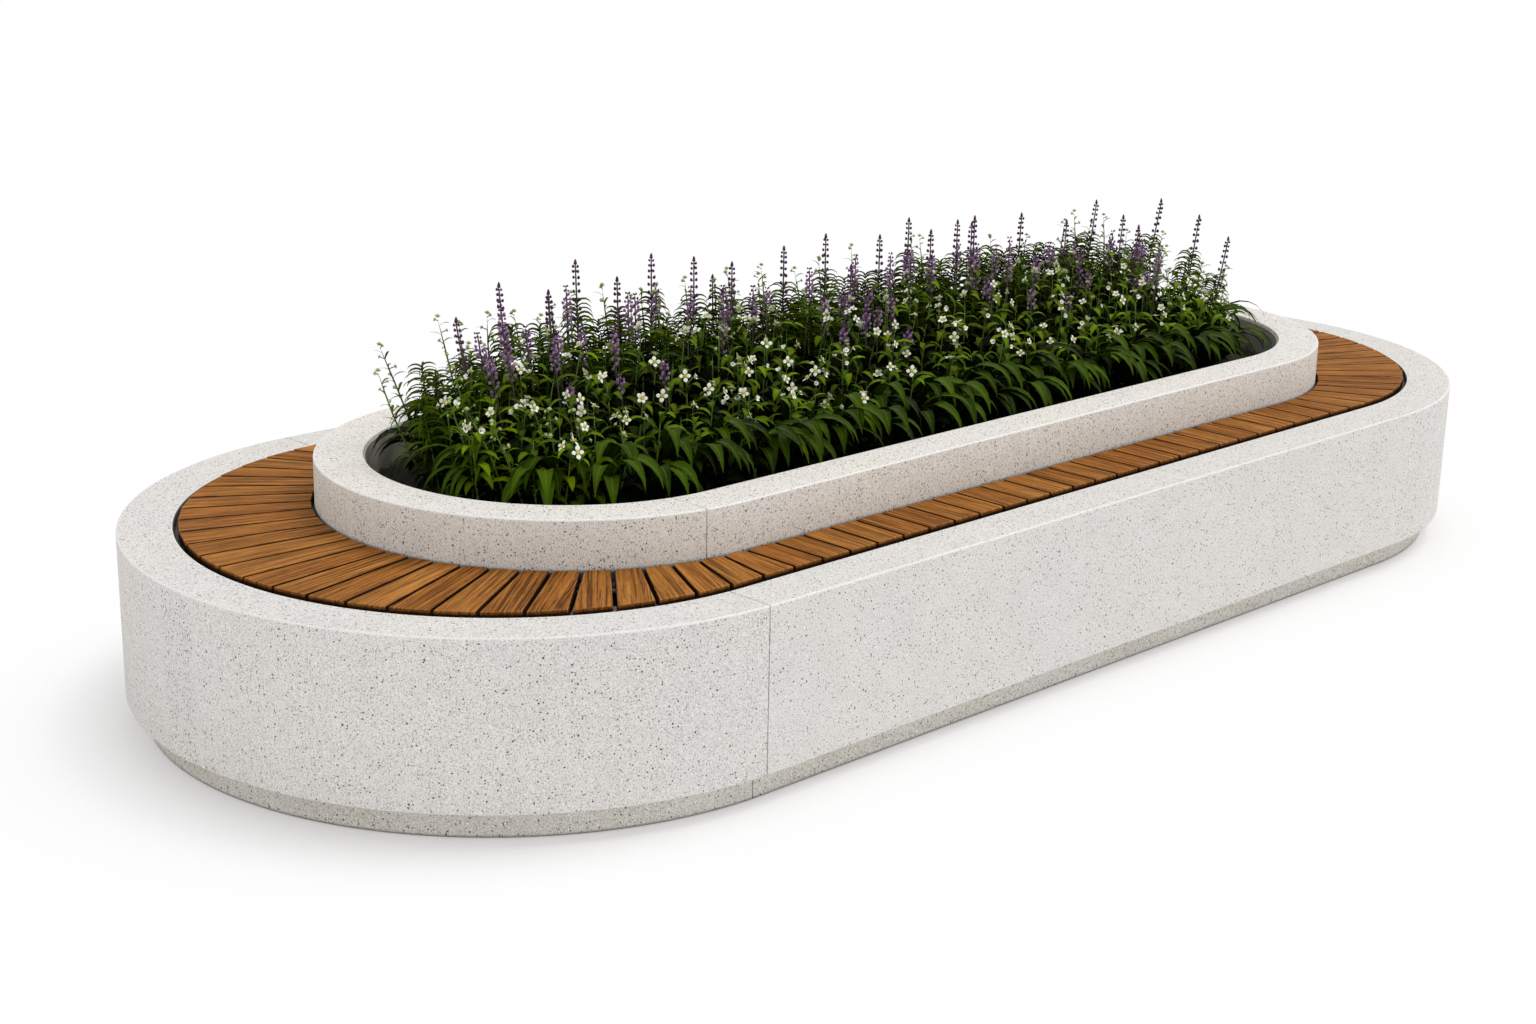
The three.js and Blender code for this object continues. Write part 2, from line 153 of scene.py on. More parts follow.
def math_node(operation, flipped=False):
    """Operator that adds a Math node; flipped where the pattern stands second."""
    def apply(pattern, *others):
        values = (*others, pattern) if flipped else (pattern, *others)
        return pattern.look.node(
            "ShaderNodeMath", {"operation": operation}, dict(enumerate(values)))
    return apply


class Pattern:
    """What varies over a surface; the usual operators on it add Math nodes."""

    def __init__(self, look, socket):
        self.look = look
        self.socket = socket

    __add__ = __radd__ = math_node("ADD")
    __sub__ = math_node("SUBTRACT")
    __rsub__ = math_node("SUBTRACT", flipped=True)
    __mul__ = __rmul__ = math_node("MULTIPLY")
    __pow__ = math_node("POWER")
    __gt__ = math_node("GREATER_THAN")
    __lt__ = math_node("LESS_THAN")
    __abs__ = math_node("ABSOLUTE")
    sine = math_node("SINE")
    or_higher = math_node("MAXIMUM")

    def between(self, low, high):
        """0 below low, 1 above high and a soft step in between; low may be the larger."""
        return self.look.node(
            "ShaderNodeMapRange", {"interpolation_type": "SMOOTHSTEP"},
            {"Value": self, "From Min": low, "From Max": high})


class Look:
    """The nodes of a material or of the world; colours of three numbers are screen colours."""

    def __init__(self, tree):
        self.tree = tree
        tree.nodes.clear()

    def node(self, kind, settings=None, inputs=None, output=0):
        """Adds a node: its settings first, then the values or links of its sockets."""
        made = self.tree.nodes.new(kind)
        for name, value in (settings or {}).items():
            if name == "stops":
                elements = made.color_ramp.elements
                while len(elements) < len(value):
                    elements.new(0.5)
                for element, (place, colour) in zip(elements, value):
                    element.position = place
                    element.color = linear(colour)
            else:
                setattr(made, name, value)
        for name, value in (inputs or {}).items():
            socket = made.inputs[name]
            if isinstance(value, Pattern):
                self.tree.links.new(value.socket, socket)
            elif socket.type == "RGBA" and len(value) == 3:
                socket.default_value = linear(value)
            else:
                socket.default_value = value
        if made.outputs:
            return Pattern(self, made.outputs[output])

    def place(self):
        """Place on the piece, in metres."""
        return self.node("ShaderNodeTexCoord", output="Object")

    def attribute(self, name, output="Fac"):
        return self.node("ShaderNodeAttribute", {"attribute_name": name}, output=output)

    def vector(self, operation, first, second):
        return self.node("ShaderNodeVectorMath", {"operation": operation}, {0: first, 1: second})

    def joined(self, x=0.0, y=0.0, z=0.0):
        return self.node("ShaderNodeCombineXYZ", inputs={0: x, 1: y, 2: z})

    def axis(self, vector, output):
        return self.node("ShaderNodeSeparateXYZ", inputs={0: vector}, output=output)

    def from_middle(self, place, straight):
        """Distance from the middle line of a plan with straight sides and round ends."""
        past = (abs(self.axis(place, 0)) - straight).or_higher(0)
        return (past ** 2 + self.axis(place, 1) ** 2) ** 0.5

    def noise(self, place, scale, detail=2.0, roughness=0.5):
        """Soft noise; its scale may be given for each axis."""
        if isinstance(scale, tuple):
            place = self.vector("MULTIPLY", place, scale)
            scale = 1.0
        return self.node("ShaderNodeTexNoise", inputs={
            "Vector": place, "Scale": scale, "Detail": detail, "Roughness": roughness})

    def grains(self, place, scale):
        """Cells of a size: the distance to the nearest centre, and a random number per cell."""
        cells = self.node("ShaderNodeTexVoronoi", inputs={"Vector": place, "Scale": scale})
        colour = Pattern(self, cells.socket.node.outputs["Color"])
        return cells, self.axis(colour, 0)

    def ramp(self, factor, *stops):
        return self.node("ShaderNodeValToRGB", {"stops": stops}, {"Fac": factor})

    def mix(self, factor, first, second, blend="MIX"):
        return self.node(
            "ShaderNodeMix",
            {"data_type": "RGBA", "blend_type": blend, "clamp_factor": True},
            {0: factor, 6: first, 7: second}, output=2)

    def bump(self, height, distance, strength=1.0):
        return self.node("ShaderNodeBump", inputs={
            "Height": height, "Distance": distance, "Strength": strength})

    def finish(self, **sockets):
        """Ends a material with a Principled shader; underlines in a name stand for spaces."""
        inputs = {name.replace("_", " "): value for name, value in sockets.items()}
        shader = self.node("ShaderNodeBsdfPrincipled", inputs=inputs)
        self.node("ShaderNodeOutputMaterial", inputs={"Surface": shader})


def cast_stone(look, base, warm, speck_share, straight=WALL_STRAIGHT, face=WALL_INNER_RADIUS):
    """Mottled cement with aggregate, with painted highlights on its eased edges, painted shade at its
    foot and painted shade on the face beside the slats below their top.
    """
    place = look.place()
    level = look.axis(place, 2)
    mottle = look.noise(place, 290.0, 3.0, 0.75)
    marks = look.noise(place, (430.0, 430.0, 190.0), 2.0, 0.6)
    light = 0.93 + look.noise(place, 14.0, 3.0) * 0.14
    grey = (138, 136, 130)
    colour = look.mix(look.noise(place, 2.3, 3.0).between(0.35, 0.68), base, warm)
    colour = look.mix(1.0, colour, look.joined(light, light, light), "MULTIPLY")
    colour = look.mix(mottle.between(0.52, 0.64) * 0.72, colour, (252, 251, 248))
    colour = look.mix(mottle.between(0.46, 0.34) * 0.68, colour, grey)
    colour = look.mix(marks.between(0.44, 0.33) * 0.5, colour, grey)
    height = mottle * 0.25
    # Cells per metre, share of them that hold a grain, its colour, size and strength
    grains = [
        (255.0, 0.16 * speck_share, (104, 101, 96), 0.30, 0.8),
        (170.0, 0.085 * speck_share, (62, 59, 56), 0.30, 0.95),
        (120.0, 0.026 * speck_share, (54, 50, 47), 0.26, 0.95),
        (190.0, 0.05, (252, 251, 249), 0.34, 0.8),
        (150.0, 0.02, (176, 152, 110), 0.28, 0.7),
    ]
    for index, (scale, share, tint, size, strength) in enumerate(grains):
        moved = look.vector("ADD", place, (index * 1.7, index * 0.9, index * 2.3))
        distance, number = look.grains(moved, scale)
        grain = (number < share) * distance.between(size + 0.08, size - 0.04)
        colour = look.mix(grain * strength, colour, tint)
        height = height - grain * 0.5
    # Painted highlight: eased edges higher than 0.1 m are drawn near white, as where they catch the
    # light.
    painted_arris_highlight = look.attribute("arris") * (level > 0.1)
    colour = look.mix(painted_arris_highlight * 0.55, colour, (250, 249, 245))
    # Painted shade: the lowest 9 mm, where the plinth meets the floor, darkened as a contact shadow.
    painted_foot_shade = level.between(0.009, 0.001)
    colour = look.mix(painted_foot_shade * 0.75, colour, (92, 90, 84))
    # Painted shade: the face beside the slats is darkened below their top, as the shade in the narrow
    # gap.
    beside_slats = abs(look.from_middle(place, straight) - face) < 0.002
    painted_shade_below_slat_top = (SLAT_TOP - level).between(-0.003, 0.012)
    colour = look.mix(beside_slats * painted_shade_below_slat_top * 0.9, colour, (44, 40, 36))
    look.finish(
        Base_Color=colour,
        Roughness=0.78 + mottle * 0.12,
        Normal=look.bump(height, 0.0006, 0.35))


def hardwood(look):
    """Oiled hardwood, its grain along each slat, with painted highlights on its eased edges and
    painted shade down its sides in the joints and on the end faces.
    """
    grain = look.attribute("grain", "Vector")
    bent = look.noise(grain, (3.0, 9.0, 9.0), 2.0)
    wander = look.vector("ADD", grain, look.joined(y=bent * 0.012))
    bands = look.noise(wander, (2.6, 95.0, 60.0), 3.0, 0.6)
    lines = look.noise(wander, (3.6, 210.0, 110.0), 3.0, 0.7)
    pores = look.noise(wander, (22.0, 520.0, 260.0), 2.0, 0.7)
    clouds = look.noise(grain, (7.0, 14.0, 14.0), 2.0)
    colour = look.ramp(
        bands * 0.75 + clouds * 0.25,
        (0.31, (122, 75, 25)), (0.44, (156, 100, 40)),
        (0.54, (179, 117, 51)), (0.68, (202, 139, 68)))
    colour = look.mix(lines.between(0.5, 0.42) * 0.86, colour, (72, 35, 8))
    colour = look.mix(pores.between(0.45, 0.34) * 0.7, colour, (60, 29, 8))
    deep = look.mix(1.0, colour, (238, 230, 220), "MULTIPLY")
    bright = look.mix(0.1, colour, (208, 148, 72))
    colour = look.mix(look.attribute("tone"), deep, bright)
    # Painted highlight: eased edges a little lighter, as where they catch the light.
    colour = look.mix(look.attribute("arris") * 0.1, colour, (214, 160, 108))
    place = look.place()
    depth = SLAT_TOP - look.axis(place, 2)
    ends = look.from_middle(place, WALL_STRAIGHT).between(
        SLAT_OUTER_RADIUS - 0.006, SLAT_OUTER_RADIUS - 0.003)
    # Painted shade on the end faces by the wall: a brown band just under the top.
    colour = look.mix(ends * depth.between(0.001, 0.003) * 0.5, colour, (84, 46, 18))
    # Painted shade, near black, down the slat sides in the joints and lower on the end faces.
    painted_joint_shade = depth.between(0.0004, 0.0028) * (1 - ends)
    foot = depth.between(0.004, 0.01) * ends
    colour = look.mix((painted_joint_shade + foot) * 0.92, colour, (22, 10, 4))
    look.finish(
        Base_Color=colour,
        Roughness=0.55 + lines * 0.2,
        Specular_IOR_Level=0.06,
        Normal=look.bump(bands * 0.5 + lines * 0.35 + pores * 0.15, 0.0009, 0.55))


def galvanised(look):
    """Galvanised steel with a faint spangle, with painted shade in the gaps beside the slats."""
    place = look.place()
    spangle = look.grains(place, 85.0)[1]
    film = look.noise(place, 9.0, 4.0)
    colour = look.ramp(spangle * 0.5 + film * 0.5, (0.25, (150, 154, 156)), (0.75, (192, 196, 198)))
    outer = look.from_middle(place, WALL_STRAIGHT) - SLAT_OUTER_RADIUS
    inner = SLAT_INNER_RADIUS - look.from_middle(place, PLANTER_STRAIGHT)
    # Painted shade: the bearers are darkened in the gaps beside the slats, where shade falls.
    painted_gap_shade = outer.between(-0.005, 0.0) + inner.between(-0.005, 0.0)
    look.finish(
        Base_Color=look.mix(painted_gap_shade * 0.92, colour, (26, 24, 22)),
        Metallic=0.75,
        Roughness=0.38 + spangle * 0.14 + film * 0.1,
        Normal=look.bump(film, 0.0005, 0.2))


def moulded(look, dark, light, scale, detail, roughness, relief, strength):
    """Rubber or plastic between two near tones."""
    skin = look.noise(look.place(), scale, detail)
    look.finish(
        Base_Color=look.ramp(skin, (0.3, dark), (0.7, light)),
        Roughness=roughness + skin * 0.15,
        Normal=look.bump(skin, relief, strength))


def bed_liner(look):
    """Sheet liner, a little dusty, with splashes of soil low down."""
    place = look.place()
    dust = look.noise(place, 7.0, 5.0, 0.6)
    pebble = look.noise(place, 420.0, 2.0)
    splash = look.noise(place, 46.0, 4.0) - (look.axis(place, 2) - SOIL_TOP) * 16.0
    colour = look.ramp(dust, (0.3, (158, 156, 142)), (0.75, (194, 190, 174)))
    look.finish(
        Base_Color=look.mix(splash.between(0.36, 0.6) * 0.7, colour, (34, 28, 22)),
        Roughness=0.5 + dust * 0.2,
        Normal=look.bump(pebble * 0.4 + dust * 0.6, 0.0006, 0.35))


def bed_soil(look):
    """Near-black planting mix with lighter bits of bark."""
    place = look.place()
    lumps = look.noise(place, 55.0, 6.0, 0.65)
    distance, number = look.grains(place, 210.0)
    bits = (number < 0.12) * distance.between(0.4, 0.25)
    colour = look.ramp(lumps, (0.28, (13, 10, 8)), (0.5, (29, 22, 17)), (0.75, (52, 41, 31)))
    look.finish(
        Base_Color=look.mix(bits * 0.6, colour, (88, 66, 46)),
        Roughness=0.92,
        Normal=look.bump(lumps + bits * 0.3, 0.004, 0.8))


def drainage_gravel(look):
    distance, number = look.grains(look.place(), 90.0)
    colour = look.ramp(
        number, (0.0, (118, 106, 92)), (0.5, (150, 140, 126)), (1.0, (186, 178, 166)))
    look.finish(
        Base_Color=look.mix(distance.between(0.45, 0.75) * 0.8, colour, (58, 50, 42)),
        Roughness=0.85,
        Normal=look.bump(1 - distance, 0.004, 0.9))


def filter_fleece(look):
    fibres = look.noise(look.place(), (500.0, 70.0, 200.0), 4.0, 0.7)
    look.finish(
        Base_Color=look.ramp(fibres, (0.3, (188, 188, 182)), (0.7, (224, 224, 219))),
        Roughness=0.95,
        Normal=look.bump(fibres, 0.0006, 0.6))


def base_concrete(look):
    place = look.place()
    clouds = look.noise(place, 6.0, 5.0)
    distance, number = look.grains(place, 130.0)
    pits = (number < 0.1) * distance.between(0.35, 0.2)
    colour = look.ramp(clouds, (0.3, (150, 148, 142)), (0.7, (186, 184, 178)))
    look.finish(
        Base_Color=look.mix(pits * 0.5, colour, (104, 102, 98)),
        Roughness=0.88,
        Normal=look.bump(clouds * 0.3 - pits, 0.001, 0.5))


def canopy_light(look):
    """Light share for the painted shade among the plants: 0 deep among them and 1 at their tops,
    which are highest a little behind the middle.
    """
    place = look.place()
    x, y, z = (look.axis(place, output) for output in range(3))
    top = 0.85 - abs(y - 0.17) * 0.4 - (abs(x) - 1.0).between(0, 0.5) * 0.14
    return (z - top).between(-0.13, 0.0)


def own_tone(look):
    """Tone of the leaf or bud, partly that of its whole plant."""
    return look.attribute("tone") * 0.6 + look.attribute("plant_tone") * 0.4


def leaf_finish(look, deep, fresh, rib, sheen, rib_width=0.07, veins=34.0, shade=0.9):
    """Leaf with a pale mid-rib and fine veins, each leaf and each plant of its own tone, with painted
    shade towards its foot and deep among the plants.
    """
    leaf = look.attribute("leaf_place", "Vector")
    across = abs(look.axis(leaf, 0))
    along = look.axis(leaf, 1)
    blotch = look.noise(look.place(), 34.0, 3.0)
    vein = (across * veins).sine() * 0.5 + 0.5
    share = own_tone(look) * 0.9 + blotch * 0.45 - 0.22 + vein * 0.08 - across * 0.12
    colour = look.mix(share, deep, fresh)
    colour = look.mix(across.between(rib_width, rib_width * 0.25) * 0.5, colour, rib)
    # Painted shade: darker towards the leaf's foot, under its arch.
    colour = look.mix(along.between(0.45, 0.0) * 0.6, colour, deep)
    # Painted shade: darker deep among the plants, full colour at their tops.
    dark = 1 - canopy_light(look)
    colour = look.mix(dark * shade, colour, (0.05, 0.06, 0.03, 1), "MULTIPLY")
    height = vein * 0.3 + across.between(0.0, rib_width * 1.4) * 0.7
    look.finish(
        Base_Color=colour,
        Roughness=sheen + blotch * 0.16,
        Specular_IOR_Level=0.04,
        Normal=look.bump(height, 0.0008, 0.5))


def tinted(look, low, high, sheen=0.55, along_share=0.0):
    """Plant part between two colours, by its own tone and its place along the part."""
    tone = own_tone(look)
    along = look.axis(look.attribute("leaf_place", "Vector"), 1)
    mottle = look.noise(look.place(), 300.0, 2.0)
    share = tone * (0.8 - along_share) + along * along_share + mottle * 0.3 - 0.05
    look.finish(
        Base_Color=look.mix(share, low, high),
        Roughness=sheen + mottle * 0.15,
        Specular_IOR_Level=0.25,
        Normal=look.bump(mottle, 0.0004, 0.4))


def white_petal(look):
    """White petal, green-yellow at its foot."""
    leaf = look.attribute("leaf_place", "Vector")
    along = look.axis(leaf, 1)
    crease = (abs(look.axis(leaf, 0)) * 16.0).sine() * 0.5 + 0.5
    colour = look.mix(along.between(0.35, 0.0), (250, 249, 239), (206, 214, 130))
    look.finish(
        Base_Color=look.mix(crease * 0.12, colour, (216, 220, 204)),
        Roughness=0.62,
        Normal=look.bump(crease, 0.0004, 0.4))


PLANT_FINISHES = {
    "strap_leaf": (leaf_finish, (10, 20, 0), (72, 99, 0), (120, 148, 10), 0.46),
    "fresh_leaf": (leaf_finish, (24, 42, 0), (116, 146, 4), (152, 176, 30), 0.5),
    # Near-black undergrowth leaves: their colour is painted shade among the plants.
    "shade_leaf": (leaf_finish, (9, 17, 0), (26, 42, 2), (36, 52, 4), 0.7),
    "feather_leaf": (leaf_finish, (30, 46, 0), (88, 112, 3), (98, 122, 8), 0.6, 0.2, 8.0, 0.72),
    "green_stem": (tinted, (52, 80, 28), (112, 142, 62)),
    "dark_stem": (tinted, (66, 84, 44), (96, 66, 88), 0.5, 0.6),
    "dark_bud": (tinted, (46, 18, 50), (104, 52, 110), 0.42),
    "violet_floret": (tinted, (106, 62, 116), (176, 132, 180), 0.7),
    "faded_floret": (tinted, (96, 82, 92), (154, 136, 150), 0.8),
    "white_petal": (white_petal,),
    "flower_eye": (tinted, (176, 168, 52), (226, 214, 96), 0.7),
    "pale_bud": (tinted, (112, 138, 66), (196, 208, 146), 0.7),
}

FINISHES = PLANT_FINISHES | {
    "stone": (cast_stone, (225, 222, 219), (228, 223, 218), 1.0),
    # Warmer than the wall's stone, and lighter as painted light on the low planter wall, which stands
    # in shade.
    "planter_stone": (
        cast_stone, (238, 234, 228), (240, 234, 224), 1.5, PLANTER_STRAIGHT, PLANTER_RADIUS),
    # Yellower than the wall's stone, and a little darker as painted shade under the wall's overhang.
    "plinth_stone": (cast_stone, (219, 216, 208), (212, 207, 197), 1.6),
    "hardwood": (hardwood,),
    "galvanised": (galvanised,),
    "joint_seal": (moulded, (66, 65, 62), (92, 91, 88), 160.0, 4.0, 0.72, 0.0004, 0.4),
    "drain_pipe": (moulded, (34, 34, 35), (52, 52, 53), 60.0, 3.0, 0.42, 0.0003, 0.3),
    "bed_liner": (bed_liner,),
    "bed_soil": (bed_soil,),
    "drainage_gravel": (drainage_gravel,),
    "filter_fleece": (filter_fleece,),
    "base_concrete": (base_concrete,),
}


@cache
def finish_of(name):
    """The material of that name, made the first time that it is asked for."""
    material = bpy.data.materials.new(name)
    material.use_nodes = True
    maker, *values = FINISHES[name]
    maker(Look(material.node_tree), *values)
    return material


# Pieces


def add_piece(name, bm, finishes, node):
    """Turns a bmesh into the piece, or one of the pieces, that stands for a node.

    Finishes that no face uses are left out.
    """
    used = sorted({face.material_index for face in bm.faces})
    for face in bm.faces:
        face.material_index = used.index(face.material_index)
    mesh = bpy.data.meshes.new(name)
    bm.to_mesh(mesh)
    bm.free()
    for index in used:
        mesh.materials.append(finish_of(finishes[index]))
    piece = bpy.data.objects.new(name, mesh)
    bpy.context.scene.collection.objects.link(piece)
    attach(piece, "root")
    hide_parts(node)


def only(kind, parts):
    """The parts of one kind: vertices, edges or faces."""
    return [part for part in parts if isinstance(part, kind)]


def edges_of(parts):
    """The edges of vertices or faces, each once."""
    return list(dict.fromkeys(
        edge for part in parts
        for edge in (part.link_edges if isinstance(part, BMVert) else part.edges)))


def new_solid():
    """Empty bmesh whose faces can be marked as eased."""
    bm = bmesh.new()
    bm.faces.layers.float.new("arris")
    return bm


def ease(bm, edges, offset, segments):
    """Rounds edges and marks the new faces as eased."""
    made = bmesh.ops.bevel(
        bm, geom=edges, offset=offset, offset_type="OFFSET", segments=segments,
        profile=0.5, affect="EDGES", clamp_overlap=True, material=-1)
    for face in made["faces"]:
        face[bm.faces.layers.float["arris"]] = 1.0


def smooth(bm):
    for face in bm.faces:
        face.smooth = True


def smooth_but_creased(bm):
    """Smooth faces, with creases at sharp angles and where an eased edge meets a flat."""
    smooth(bm)
    eased = bm.faces.layers.float["arris"]
    for edge in bm.edges:
        faces = edge.link_faces
        if len(faces) == 2:
            sharp = edge.calc_face_angle(0) > CREASE_ANGLE
            edge.smooth = not (sharp or faces[0][eased] != faces[1][eased])


def half_turn(bm, corners, closed, centre, start, steps):
    """Spins a line of (radius, height) corners half a turn; returns its first and last edges."""
    verts = [bm.verts.new((centre, start * radius, height)) for radius, height in corners]
    edges = [bm.edges.new(pair) for pair in zip(verts, verts[1:] + verts[:1] * closed)]
    turned = bmesh.ops.spin(
        bm, geom=verts + edges, cent=(centre, 0, 0), axis=(0, 0, 1), angle=math.pi,
        steps=steps, use_merge=False, use_duplicate=False)
    return edges, only(BMEdge, turned["geom_last"])


def round_ended_ring(bm, straight, corners, steps, closed=True):
    """Leads a section, closed or open, round a plan with straight sides and round ends."""
    right_front, right_rear = half_turn(bm, corners, closed, straight, -1, steps)
    left_rear, left_front = half_turn(bm, corners, closed, -straight, 1, steps)
    bmesh.ops.bridge_loops(bm, edges=right_rear + left_rear)
    bmesh.ops.bridge_loops(bm, edges=left_front + right_front)
    bmesh.ops.recalc_face_normals(bm, faces=bm.faces[:])


def fill_round_holes(bm, outline, normal, places, radius, segments):
    """Fills an outline but for round holes; returns the edges of each hole."""
    rims = []
    for place in places:
        circle = bmesh.ops.create_circle(
            bm, cap_ends=False, segments=segments, radius=radius, matrix=place)
        rims.append(edges_of(circle["verts"]))
    bmesh.ops.triangle_fill(bm, use_beauty=True, normal=normal, edges=sum(rims, outline))
    return rims


def extrude_and_close(bm, edges, move):
    """Extrudes closed edges by a move and closes their far end."""
    far = only(BMVert, bmesh.ops.extrude_edge_only(bm, edges=edges)["geom"])
    bmesh.ops.translate(bm, verts=far, vec=move)
    chosen = set(far)
    rim = [edge for edge in edges_of(far) if chosen.issuperset(edge.verts)]
    bmesh.ops.edgeloop_fill(bm, edges=rim)


def joint_faces(bm, cut):
    """The two flat faces at a cut across the ring."""
    found = [
        face for face in bm.faces
        if all(abs(vert.co.x - cut) < 1e-6 for vert in face.verts)
    ]
    return sorted(found, key=lambda face: -face.calc_area())[:2]


def bore_sockets(bm, cut, away, levels):
    """Dowel sockets in the joint faces; away is -1 or 1, into the section."""
    radius = DOWEL_DIAMETER / 2 + CONTACT_GAP
    depth = DOWEL_LENGTH / 2 + CONTACT_GAP
    for face in joint_faces(bm, cut):
        middle = face.calc_center_bounds().y
        outline = list(face.edges)
        normal = face.normal.copy()
        bmesh.ops.delete(bm, geom=[face], context="FACES_ONLY")
        places = [
            Matrix.Translation((cut, middle, level)) @ Matrix.Rotation(math.pi / 2, 4, "Y")
            for level in levels
        ]
        for rim in fill_round_holes(bm, outline, normal, places, radius, 20):
            extrude_and_close(bm, rim, (away * depth, 0, 0))


def cast_section(name, ring, sizes, left):
    """One cast section of a ring: the short left end or the long rest."""
    low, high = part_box(name)
    bm = new_solid()
    corners = [(ring.inner, low.z), (ring.outer, low.z), (ring.outer, high.z), (ring.inner, high.z)]
    round_ended_ring(bm, ring.straight, corners, sizes.turn_steps)
    rails = [edge for edge in bm.edges if edge.calc_face_angle(0) > CORNER_ANGLE]
    ease(bm, rails, sizes.arris, 4)
    away = -1 if left else 1
    cut = ring.joint + away * sizes.joint_width / 2
    cutting = bmesh.ops.bisect_plane(
        bm, geom=bm.verts[:] + bm.edges[:] + bm.faces[:], plane_co=(cut, 0, 0),
        plane_no=(1, 0, 0), clear_outer=left, clear_inner=not left)
    edges = only(BMEdge, cutting["geom_cut"])
    for side in (-1, 1):
        bmesh.ops.edgeloop_fill(
            bm, edges=[edge for edge in edges if edge.verts[0].co.y * side > 0])
    bmesh.ops.recalc_face_normals(bm, faces=bm.faces[:])
    ease(bm, edges_of(joint_faces(bm, cut)), sizes.joint_arris, 1)
    if ring.dowelled:
        bore_sockets(bm, cut, away, (low.z + DOWEL_EDGE_DISTANCE, high.z - DOWEL_EDGE_DISTANCE))
    bmesh.ops.recalc_face_normals(bm, faces=bm.faces[:])
    smooth_but_creased(bm)
    add_piece(f"cast_{name}", bm, [ring.finish], name)


class BENCH_PG_stonework(bpy.types.PropertyGroup):
    arris: FloatProperty(
        name="Arris", description="Rounding of the long edges of the cast sections",
        default=0.004, min=0.001, max=0.01, unit="LENGTH")
    joint_width: FloatProperty(
        name="Joint width", description="Gap between two cast sections",
        default=0.003, min=0.001, max=0.01, unit="LENGTH")
    joint_arris: FloatProperty(
        name="Joint arris", description="Easing of the edges at a joint",
        default=0.0008, min=0.0002, max=0.002, unit="LENGTH")
    turn_steps: IntProperty(
        name="Steps in a half turn", description="Fineness of the round ends",
        default=96, min=24, max=192)


class BENCH_OT_cast_sections(bpy.types.Operator):
    """Cast the plinth, the outer wall and the planter wall, each in two sections"""

    bl_idname = "bench.cast_sections"
    bl_label = "Cast sections"

    def execute(self, context):
        sizes = context.scene.bench_stonework
        for name, ring in RINGS.items():
            cast_section(f"{name}_left_end", ring, sizes, left=True)
            cast_section(f"{name}_long_section", ring, sizes, left=False)
        return {"FINISHED"}


class BENCH_OT_fittings(bpy.types.Operator):
    """Finish the joint seals, dowels, bearers, base slab, drains, gravel and fleece"""

    bl_idname = "bench.fittings"
    bl_label = "Fittings and drainage"

    def execute(self, context):
        kinds = {
            "seal": "joint_seal", "dowel": "galvanised", "bearer": "galvanised",
            "planter_base": "base_concrete", "drain_outlet": "drain_pipe",
            "drainage_layer": "drainage_gravel", "filter_fleece": "filter_fleece",
        }
        for node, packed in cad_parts.items():
            for kind, finish in kinds.items():
                if kind in node:
                    packed.data.materials.clear()
                    packed.data.materials.append(finish_of(finish))
        return {"FINISHED"}


# Seat


class BENCH_PG_seat(bpy.types.PropertyGroup):
    slats_per_side: IntProperty(
        name="Slats per side", description="Slats along each straight side", default=24, min=4)
    slats_per_end: IntProperty(
        name="Slats per end", description="Slats fanned round each end", default=29, min=5)
    slat_joint: FloatProperty(
        name="Slat joint", description="Gap between two slats",
        default=0.009, min=0.002, max=0.02, unit="LENGTH")
    slat_easing: FloatProperty(
        name="Slat easing", description="Rounding of the edges of a slat",
        default=0.003, min=0.0005, max=0.01, unit="LENGTH")


def along_quarter(straight, radius, distance):
    """Place at a distance along a quarter of a round-ended outline, from its long side's middle."""
    if distance <= straight:
        return Vector((distance, radius))
    angle = (distance - straight) / radius
    return Vector((straight + radius * math.sin(angle), radius * math.cos(angle)))


def fan_line(end, share):
    """Joint line of the fan round an end, 0 at the rear side and 1 at the front side."""
    to_tip = 1 - abs(2 * share - 1)
    turn = Vector((end, 1 if share <= 0.5 else -1))
    line = []
    for straight, radius in (
            (PLANTER_STRAIGHT, SLAT_INNER_RADIUS), (WALL_STRAIGHT, SLAT_OUTER_RADIUS)):
        reach = straight - PLANTER_STRAIGHT + radius * math.pi / 2
        line.append(along_quarter(straight, radius, PLANTER_STRAIGHT + to_tip * reach) * turn)
    return line


def side_line(side, share):
    """Joint line across a long side, 0 at its left end and 1 at its right end."""
    x = PLANTER_STRAIGHT * (2 * share - 1)
    return Vector((x, side * SLAT_INNER_RADIUS)), Vector((x, side * SLAT_OUTER_RADIUS))


def slat_edges(first, second, joint):
    """Two joint lines, each moved by half a joint towards the slat between them."""
    centre = (first[0] + first[1] + second[0] + second[1]) / 4
    edges = []
    for inner, outer in (first, second):
        along = (outer - inner).normalized()
        across = Vector((-along.y, along.x))
        if across.dot(centre - (inner + outer) / 2) < 0:
            across.negate()
        edges.append((inner + across * joint / 2, outer + across * joint / 2))
    return edges


